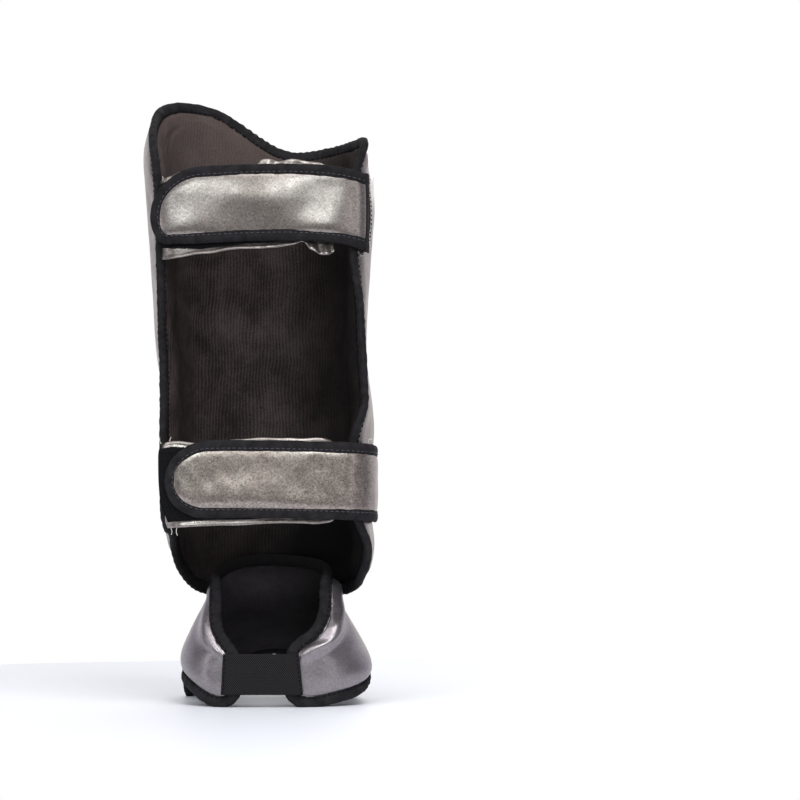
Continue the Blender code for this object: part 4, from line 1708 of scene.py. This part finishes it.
    def rooted(self, at: Array, below: Array, whole: float) -> tuple[Array, Array]:
        """Slants and tucks the flap's root, so that it follows the rim's corner.

        Its lower end starts later and lies further forward, by the cube of the share below its top.

        Args:
            at: the lengths along the flap.
            below: the shares from its top down.
            whole: its length.

        Returns:
            (the new lengths, the moves forward).
        """
        slant = self.root_slant * below**3
        tuck = self.root_tuck * below**3 * bell(at, 6 * MM)
        return at + slant * (1 - at / whole), np.stack([0 * tuck, tuck, 0 * tuck], -1)

    def flap(self, finishes: Wardrobe) -> None:
        """Makes the flap under the band: a strip with turned hems, round, wavy and crumpled where it was pulled.

        Args:
            finishes: the materials.
        """
        own = self.flap_course()
        whole = own.lengths[-1]
        across = np.linspace(-1, 1, 81)[:, None]
        at, tuck = self.rooted(np.linspace(0, whole, 200), (1 - across) / 2, whole)
        x = np.interp(at, own.lengths, own.line[:, 0])
        low, high = self.hem_heights(x)
        up = (low + high) / 2 + (high - low) / 2 * across
        edge = np.minimum(up - low, high - up)
        hem = np.clip(1 - edge / self.hem_width, 0, 1)
        roll = self.hem_roll * np.sqrt(np.clip(1 - (2 * hem - 1) ** 2, 0, 1)) * (hem > 0)
        base = own.at(at, 0.0, up)
        loose = bell(edge, self.loose_width)
        pulled = loose * np.clip((x - self.crumple_x) / (12 * MM), 0, 1) * self.crumple
        gathered = self.lower_crumple * loose * (across < 0) * smooth_step(x, 22 * MM, 32 * MM)
        wave = 0.3 * MM * ripple(base, 30 * MM, self.seed + 7) * loose - self.turned_in(across > 0, edge)
        wave = wave + pulled * ripple(base * (1, 1, 0.5), 11 * MM, self.seed + 8)
        wave = wave + gathered * ripple(base * (1, 1, 0.4), 9 * MM, self.seed + 10)
        shift = 0.35 * MM * ripple(base, 22 * MM, self.seed + 9) * loose * np.sign(across)
        shift = shift + 0.5 * gathered * ripple(base * (1, 1, 0), 8 * MM, self.seed + 11)
        front = own.at(at, self.flap_half + roll + wave, up + shift) + tuck
        back = own.at(at, wave - self.flap_half, up + shift) + tuck
        made = wall(self.name + "_flap_leather", front, back)
        size = (whole, float(np.mean(high - low)) + 2 * self.curl)
        dress(
            made, finishes.strap_leather, Slot.LEATHER, (self.name + "_flap",), Form.SHEET,
            flat=size, held="stretched", rests_on=["shin_pad_lining"],
        )
        self.loops(finishes, own)

    def loops(self, finishes: Wardrobe, own: Course) -> None:
        """Makes the loops on the flap: a strip in from its hems, of an even thickness.

        Args:
            finishes: the materials.
            own: the flap's course.
        """
        whole = own.lengths[-1]
        end = whole - 3 * MM
        rise = np.linspace(0, 1, 40)[:, None]
        at, tuck = self.rooted(np.linspace(self.patch_start, end, 110), 0.93 - 0.86 * rise, whole)
        x = np.interp(at, own.lengths, own.line[:, 0])
        low, high = self.hem_heights(x)
        bare = np.interp(x / MM, *np.array(self.bare_hem).T) * MM
        low, high = low + self.patch_inset + bare, high - self.patch_inset
        up = low + (high - low) * rise
        edge = np.minimum(up - low, high - up) + self.patch_inset
        lift = self.flap_half + 0.2 * MM - self.turned_in(rise > 0.5, edge)
        front, back = (own.at(at, depth, up) + tuck for depth in (lift + 2 * self.patch_half, lift))
        made = wall(self.name + "_flap_loops", front, back)
        size = (end - self.patch_start, float(np.mean(high - low)))
        dress(
            made, finishes.loops, Slot.LOOPS, (self.name + "_loop_patch",), Form.SHEET,
            flat=size, held="stretched", rests_on=[self.name + "_flap_leather"],
        )


@dataclass
class SewnTongue:
    """The black end of the upper strap, sewn flat on the leather's right side with white thread.

    It leaves the band's fold along the strap's course, goes over to the leather between settle_y and leave_y,
    and ends round, at long_y in the middle. Its stitches run in by seam_y and seam_z, and end in a point, given
    as (y, z) in millimetres.
    """

    middle_z: float = 386 * MM
    half: float = 31 * MM
    near_y: float = -0.8 * MM
    short_y: float = 9 * MM
    long_y: float = 25 * MM
    lift: float = 1.0 * MM
    thick: float = 1.2 * MM
    leave_y: float = 20 * MM
    settle_y: float = 6 * MM
    seam_y: float = 4.2 * MM
    seam_z: float = 3.2 * MM
    thread_lift: float = 0.6 * MM
    point: tuple[tuple[float, float], ...] = ((12.0, 357.0), (9.0, 353.5), (7.0, 351.5), (4.5, 356.5))
    sewn_out: Place = (0.94, -0.34, 0.0)
    thread: Thread = Thread(pitch=3.4 * MM, length=2.7 * MM, radius=0.5 * MM)

    def surface(self, shell: PaddedShell, course: Course, depth: Array, z: Array, lift: float) -> Array:
        """Points of the tongue: the leather's surface in front, the strap's course behind, mixed between.

        Args:
            shell: whose leather it is.
            course: the strap's course.
            depth: the points' y.
            z: their heights.
            lift: how far they stand off.

        Returns:
            The points.
        """
        root = course.line[:140][::-1]
        plan = np.stack([np.interp(depth, root[:, 1], root[:, 0]) + lift - self.lift, depth, z], -1)
        share = smooth_step(depth, self.settle_y, self.leave_y)[..., None]
        return plan * (1 - share) + shell.outer_point(depth, z, lift) * share

    def front(self, rise: Array) -> Array:
        """Where its round front end lies, from -1 at its lowest to 1 at its highest: half an ellipse."""
        return self.short_y + (self.long_y - self.short_y) * np.sqrt(1 - rise**2)

    def build(self, finishes: Wardrobe, shell: PaddedShell, course: Course) -> None:
        """Makes the tongue and the white stitches round it, which end in a point below.

        Args:
            finishes: the materials.
            shell: whose leather it is sewn on.
            course: the strap's course.
        """
        rise = np.linspace(-1, 1, 40)[:, None]
        depth = self.near_y + (self.front(rise) - self.near_y) * np.linspace(0, 1, 40)
        z = self.middle_z + self.half * rise + 0 * depth
        faces = [
            self.surface(shell, course, depth, z, self.lift + side * self.thick / 2) for side in (1, -1)
        ]
        dress(wall("upper_root_tongue", *faces), finishes.tape, Slot.TAPE)
        turn = np.linspace(-1, 1, 80)
        z = self.middle_z + (self.half - self.seam_z) * turn
        lift = self.lift + self.thick / 2 + self.thread_lift
        round_end = self.surface(shell, course, self.front(turn * 0.99) - self.seam_y, z, lift)
        point = evenly(shell.outer_point(*np.array(self.point).T * MM, 0.5 * MM), 24)
        lines = [(path, np.tile(self.sewn_out, (len(path), 1))) for path in (round_end, point)]
        dress(self.thread.row("upper_root_stitches", lines), finishes.white_thread)


def straps() -> tuple[ClosureStrap, ClosureStrap]:
    """The two closure straps, with their sizes."""
    upper = ClosureStrap(
        name="upper",
        route=(
            (81.9, 16, 386), (80.7, 9, 386), (78.9, 1.5, 386), (74.8, -5, 387), (66.0, -9, 389),
            (30.0, -16, 392), (-10.0, -19, 391.5), (-50.0, -17, 390), (-76.0, -13, 389.5), (-89.5, -10, 389),
        ),
        tip=Tip(43 * MM, 15 * MM, 7.5 * MM),
        bulges=table(
            Bulge,
            (-8, 397, 34, 13, 2.1), (-4, 368, 28, 11, -1.4), (43, 370, 20, 15, 1.8),
            (52, 405, 14, 9, -0.6), (-60, 376, 26, 22, 1.5), (-58, 402, 16, 12, 0.5),
        ),
        flap_root=((-84.0, -1.6), (-82.0, -4.1), (-79.0, -6.6)),
        root_slant=7 * MM, root_tuck=5 * MM,
        hems=table(
            HemHeight,
            (-84, 411.0, 348.5), (-74, 414.6, 348.2), (-67, 417.8, 349.0), (-58, 419.2, 350.6),
            (-30, 417.0, 354.0), (-9, 417.5, 356.0), (-4, 425.0, 356.2), (2, 427.0, 356.6),
            (12, 425.2, 357.2), (22, 426.0, 359.5), (29, 425.6, 362.0), (35, 425.2, 355.5),
            (43, 424.7, 352.0), (49, 422.5, 351.5), (60, 419.0, 354.5),
        ),
        crumple_x=-8 * MM, crumple=0.55 * MM, flare=2.4 * MM, lower_crumple=1.3 * MM, flap_end_x=57 * MM,
        bare_hem=((-81, 5), (-68, 4), (-50, 0), (16, 0), (24, 7)),
        seed=51, fold=20 * MM,
    )
    lower = ClosureStrap(
        name="lower",
        route=(
            (85.0, 52, 174), (85.0, 34, 174), (84.4, 19, 174), (82.4, 7, 174.5), (77.0, -2.6, 174.8),
            (67.0, -9.0, 175.3), (52.0, -12.2, 175.9), (36.0, -14.2, 176.3), (-4.0, -17, 177),
            (-44.0, -15, 177), (-77.5, -11.5, 175.5),
        ),
        tip=Tip(35 * MM, 33 * MM, 0),
        bulges=table(
            Bulge,
            (-66, 172, 14, 18, 0.6), (-8, 160, 46, 20, 2.3), (38, 151, 18, 9, 1.1), (50, 186, 14, 11, -0.4),
        ),
        flap_root=((-80.9, -2.6), (-80.5, -4.6), (-79.0, -6.4)),
        root_slant=7.5 * MM, root_tuck=7 * MM,
        hems=table(
            HemHeight,
            (-81, 204.8, 138.2), (-77, 206.0, 138.8), (-54, 205.6, 140.6), (-40, 205.6, 141.0),
            (-26, 207.8, 141.0), (0, 209.0, 142.0), (24, 209.0, 142.6), (47, 209.2, 143.2),
            (58, 206.5, 144.4),
        ),
        crumple_x=0.0, crumple=0.25 * MM, seed=71, ripple=0.12 * MM, ripple_length=18 * MM, fold=0.0, painted_lighting=True,
    )
    return upper, lower


@dataclass(frozen=True)
class ThreadEnd:
    """A loose end of sewing thread, in millimetres: where it leaves the cloth, its way, and its bend."""

    place: Place
    way: Place
    bend: Place


@dataclass(frozen=True)
class LooseEnds:
    """The white thread ends that stick out where the flaps and straps are sewn on."""

    radius: float = 0.32 * MM
    sides: int = 6
    ends: tuple[ThreadEnd, ...] = table(
        ThreadEnd,
        ((-80.6, -4.6, 204.5), (-1.2, -0.4, 4.6), (-0.8, 0, 0)),
        ((-74.4, -4.4, 205.5), (1.4, -0.6, 4.0), (0, 0, 1.4)),
        ((-73.2, -4.0, 139.0), (0.4, -0.6, -5.0), (0.8, 0, 0)),
        ((-68.2, -7.2, 139.0), (0.6, -0.4, -5.6), (-0.7, 0, 0)),
        ((-81.0, -4.8, 410.5), (0.3, -0.4, 3.2), (0.6, 0, 0)),
        ((81.0, 9.0, 205.0), (2.2, 0.4, 3.6), (-1.8, 0, 1.2)),
        ((83.0, 9.0, 206.0), (-2.6, 0.2, 1.2), (0.6, 0, 2.4)),
    )

    def build(self, finishes: Wardrobe) -> None:
        """Makes the ends: each a thin tube along a bent line, its bend a parabola.

        Args:
            finishes: the materials.
        """
        share = np.linspace(0, 1, 10)[:, None]
        tubes = []
        for end in self.ends:
            place, way, bend = (np.array(v) * MM for v in (end.place, end.way, end.bend))
            line = place + way * share + bend * 4 * share * (1 - share)
            ahead = unit(np.gradient(line, axis=0))
            side = unit(np.cross(ahead, (0.3, 1.0, 0.2)))
            tubes.append(line[:, None] + circles(side, np.cross(ahead, side), self.sides) * self.radius)
        dress(small_tubes("thread_ends", np.stack(tubes)), finishes.white_thread)


@dataclass
class HeelElastic:
    """The wide elastic that joins the two heel tabs, sewn on their outside. Its ends slant in as they rise."""

    left_x: float = -34 * MM
    right_x: float = 30 * MM
    left_slant: float = 1.6 * MM
    right_slant: float = 3.6 * MM
    low_z: float = 9.8 * MM
    high_z: float = 41.5 * MM
    y: float = -2.8 * MM
    half: float = 0.8 * MM
    edge_share: float = 0.06
    seam: float = 1.6 * MM
    thread: Thread = Thread(pitch=3 * MM, length=2.2 * MM)

    def build(self, finishes: Wardrobe) -> None:
        """Makes the band, its thickness a quarter circle at its long edges, and the stitches at its ends.

        Args:
            finishes: the materials.
        """
        rows, columns = 40, 80
        rise = np.linspace(0, 1, rows)[:, None]
        share = np.linspace(0, 1, columns)
        left = self.left_x + self.left_slant * rise
        right = self.right_x - self.right_slant * rise
        x = left + (right - left) * share
        z = self.low_z + (self.high_z - self.low_z) * rise + 0 * share
        thick = self.half * (0.55 + 0.45 * quarter_ramp(np.minimum(rise, 1 - rise), self.edge_share))
        front, back = (np.stack([x, self.y + side * thick + 0 * x, z], -1) for side in (-1, 1))
        dress(
            wall("heel_web", front, back), finishes.elastic, Slot.ELASTIC, ("heel_elastic",), Form.SHEET,
            flat=(self.right_x - self.left_x, self.high_z - self.low_z), held="stretched",
            rests_on=["instep_pad_leather"],
        )
        lines = []
        for start in (left + self.seam, right - self.seam):
            column = np.concatenate([start, 0 * start + self.y - self.half, z[:, :1]], axis=1)
            lines.append((column, np.tile((0.0, -1.0, 0.0), (rows, 1))))
        dress(self.thread.row("heel_web_stitches", lines), finishes.black_thread, Slot.TAPE)


# Stage


def aimed(made: Object, place: tuple[float, ...], target: tuple[float, ...]) -> Object:
    """Links a light or a camera that stands at a place and looks at a target, and returns it."""
    made.location = place
    made.rotation_euler = (Vector(target) - Vector(place)).to_track_quat("-Z", "Y").to_euler()
    return linked(made)


@dataclass(frozen=True)
class Softbox:
    """A square studio light: where it stands, its size in metres, power, colour, and where it looks."""

    name: str
    place: Place
    size: tuple[float, float]
    watts: float
    colour: str = "#ffffff"
    target: Place = (0.0, 0.0, 0.25)

    def build(self) -> None:
        """Makes the light, which the camera doesn't see."""
        data = bpy.data.lights.new(self.name, "AREA")
        data.shape = "RECTANGLE"
        data.size, data.size_y = self.size
        data.energy = self.watts
        data.color = linear(self.colour)[:3]
        aimed(bpy.data.objects.new(self.name, data), self.place, self.target).visible_camera = False


@dataclass(frozen=True)
class Studio:
    """A white floor without an end, soft light and the camera at the photograph's angle.

    The light that the world gives changes from the floor's line to straight up. The camera sees it white.
    """

    camera_place: Place = (0.111, -2.0726, 0.145)
    camera_target: Place = (0.111, -0.0726, 0.239)
    lens: float = 115.4
    floor_radius: float = 0.6
    floor_colour: str = "#f5f7fe"
    floor_roughness: float = 0.5
    low_light: float = 0.32
    high_light: float = 0.25
    behind: float = 0.6
    air: str = "#fffdfb"
    side_air: str = "#f2f1fd"
    overhead: float = 0.8
    overhead_width: float = math.radians(50)
    overhead_aim: Place = (0.25, 0.55, -1.0)
    lights: tuple[Softbox, ...] = table(
        Softbox,
        ("left_key", (-0.85, -2.0, 1.05), (0.6, 0.35), 7.6, "#f3ffff"),
        ("right_key", (0.55, -2.1, 1.1), (0.6, 0.35), 6.6, "#f3ffff"),
        ("middle_key", (-0.1, -2.2, 0.95), (0.7, 0.35), 1.8, "#fffaf4"),
        ("right_strip", (1.25, -1.25, 0.55), (0.28, 1.1), 1.4),
        ("left_strip", (-1.5, -0.75, 0.5), (0.28, 1.0), 1.8),
        ("back", (0.5, 1.7, 1.1), (0.9, 0.9), 6),
        ("high_front", (0.45, -1.1, 1.65), (0.7, 1.0), 11.5),
        ("top", (0.0, -0.4, 1.6), (1.2, 0.8), 3),
    )

    def build(self) -> None:
        """Makes the floor, the lights, the world and the camera."""
        self.floor()
        for light in self.lights:
            light.build()
        sun = bpy.data.lights.new("overhead", "SUN")
        sun.energy = self.overhead
        sun.angle = self.overhead_width
        aimed(bpy.data.objects.new("overhead", sun), (0, 0, 0), self.overhead_aim)
        self.world()
        data = bpy.data.cameras.new("camera")
        data.lens = self.lens
        scene = bpy.context.scene
        scene.camera = aimed(bpy.data.objects.new("camera", data), self.camera_place, self.camera_target)
        scene.view_settings.view_transform = "Standard"

    def world(self) -> None:
        """Makes the world: light by the height of its direction, cooler at the sides, stronger from behind."""
        world = bpy.data.worlds.new("studio")
        world.use_nodes = True
        tree = world.node_tree
        direction = add(tree, "TexCoord", "Generated")
        way = add(tree, "SeparateXYZ", 0, {"Vector": direction}).node.outputs
        rise = {"From Min": -0.1, "From Max": 0.9, "To Min": self.low_light, "To Max": self.high_light}
        level = add(tree, "MapRange", 0, {"Value": way["Z"]} | rise)
        sideways = add(tree, "Math", 0, {0: way["X"]}, operation="ABSOLUTE")
        sideways = add(tree, "MapRange", 0, {"Value": sideways, "From Min": 0.3, "From Max": 0.8})
        ends = {"A": linear(self.air), "B": linear(self.side_air)}
        colour = add(tree, "Mix", "Result", {"Factor": sideways} | ends, data_type="RGBA")
        depth = {"Value": way["Y"], "From Min": 0.1, "From Max": 0.6, "To Max": self.behind}
        level = add(tree, "Math", 0, {0: level, 1: add(tree, "MapRange", 0, depth)}, operation="ADD")
        light = add(tree, "Background", 0, {"Color": colour, "Strength": level})
        white = add(tree, "Background", 0, {"Color": (1, 1, 1, 1), "Strength": 1.0})
        seen = add(tree, "LightPath", "Is Camera Ray")
        mixed = add(tree, "MixShader", 0, {0: seen, 1: light, 2: white})
        connect(tree.nodes["World Output"], {"Surface": mixed})
        bpy.context.scene.world = world

    def floor(self) -> None:
        """Makes the floor of white acrylic sheet, matt: a flat disc of rings round the guard."""
        turn = angles(96)
        radius = self.floor_radius * np.linspace(0, 1, 8)[1:, None]
        rings = np.stack([radius * np.cos(turn), radius * np.sin(turn), 0 * radius + 0 * turn], -1)
        face, _ = quads(len(radius), len(turn), around=True)
        middle = [list(range(len(turn)))]
        mesh = bpy.data.meshes.new("floor")
        mesh.from_pydata(rings.reshape(-1, 3).tolist(), [], face.tolist() + middle)
        made, _, shader = new_material("white_acrylic_floor")
        connect(shader, {"Base Color": linear(self.floor_colour), "Roughness": self.floor_roughness})
        mesh.materials.append(made)
        linked(bpy.data.objects.new("floor", mesh))


def main() -> None:
    """Builds the guard piece by piece, then the studio."""
    logging.basicConfig(level=logging.INFO, format="%(name)s: %(message)s")
    finishes = Wardrobe()
    shin = shin_shell()
    shin.build(finishes)
    instep_shell().build(finishes)
    upper, lower = straps()
    for strap in (upper, lower):
        strap.build(finishes)
    SewnTongue().build(finishes, shin, upper.course)
    HeelElastic().build(finishes)
    LooseEnds().build(finishes)
    Studio().build()


if __name__ == "__main__":
    main()
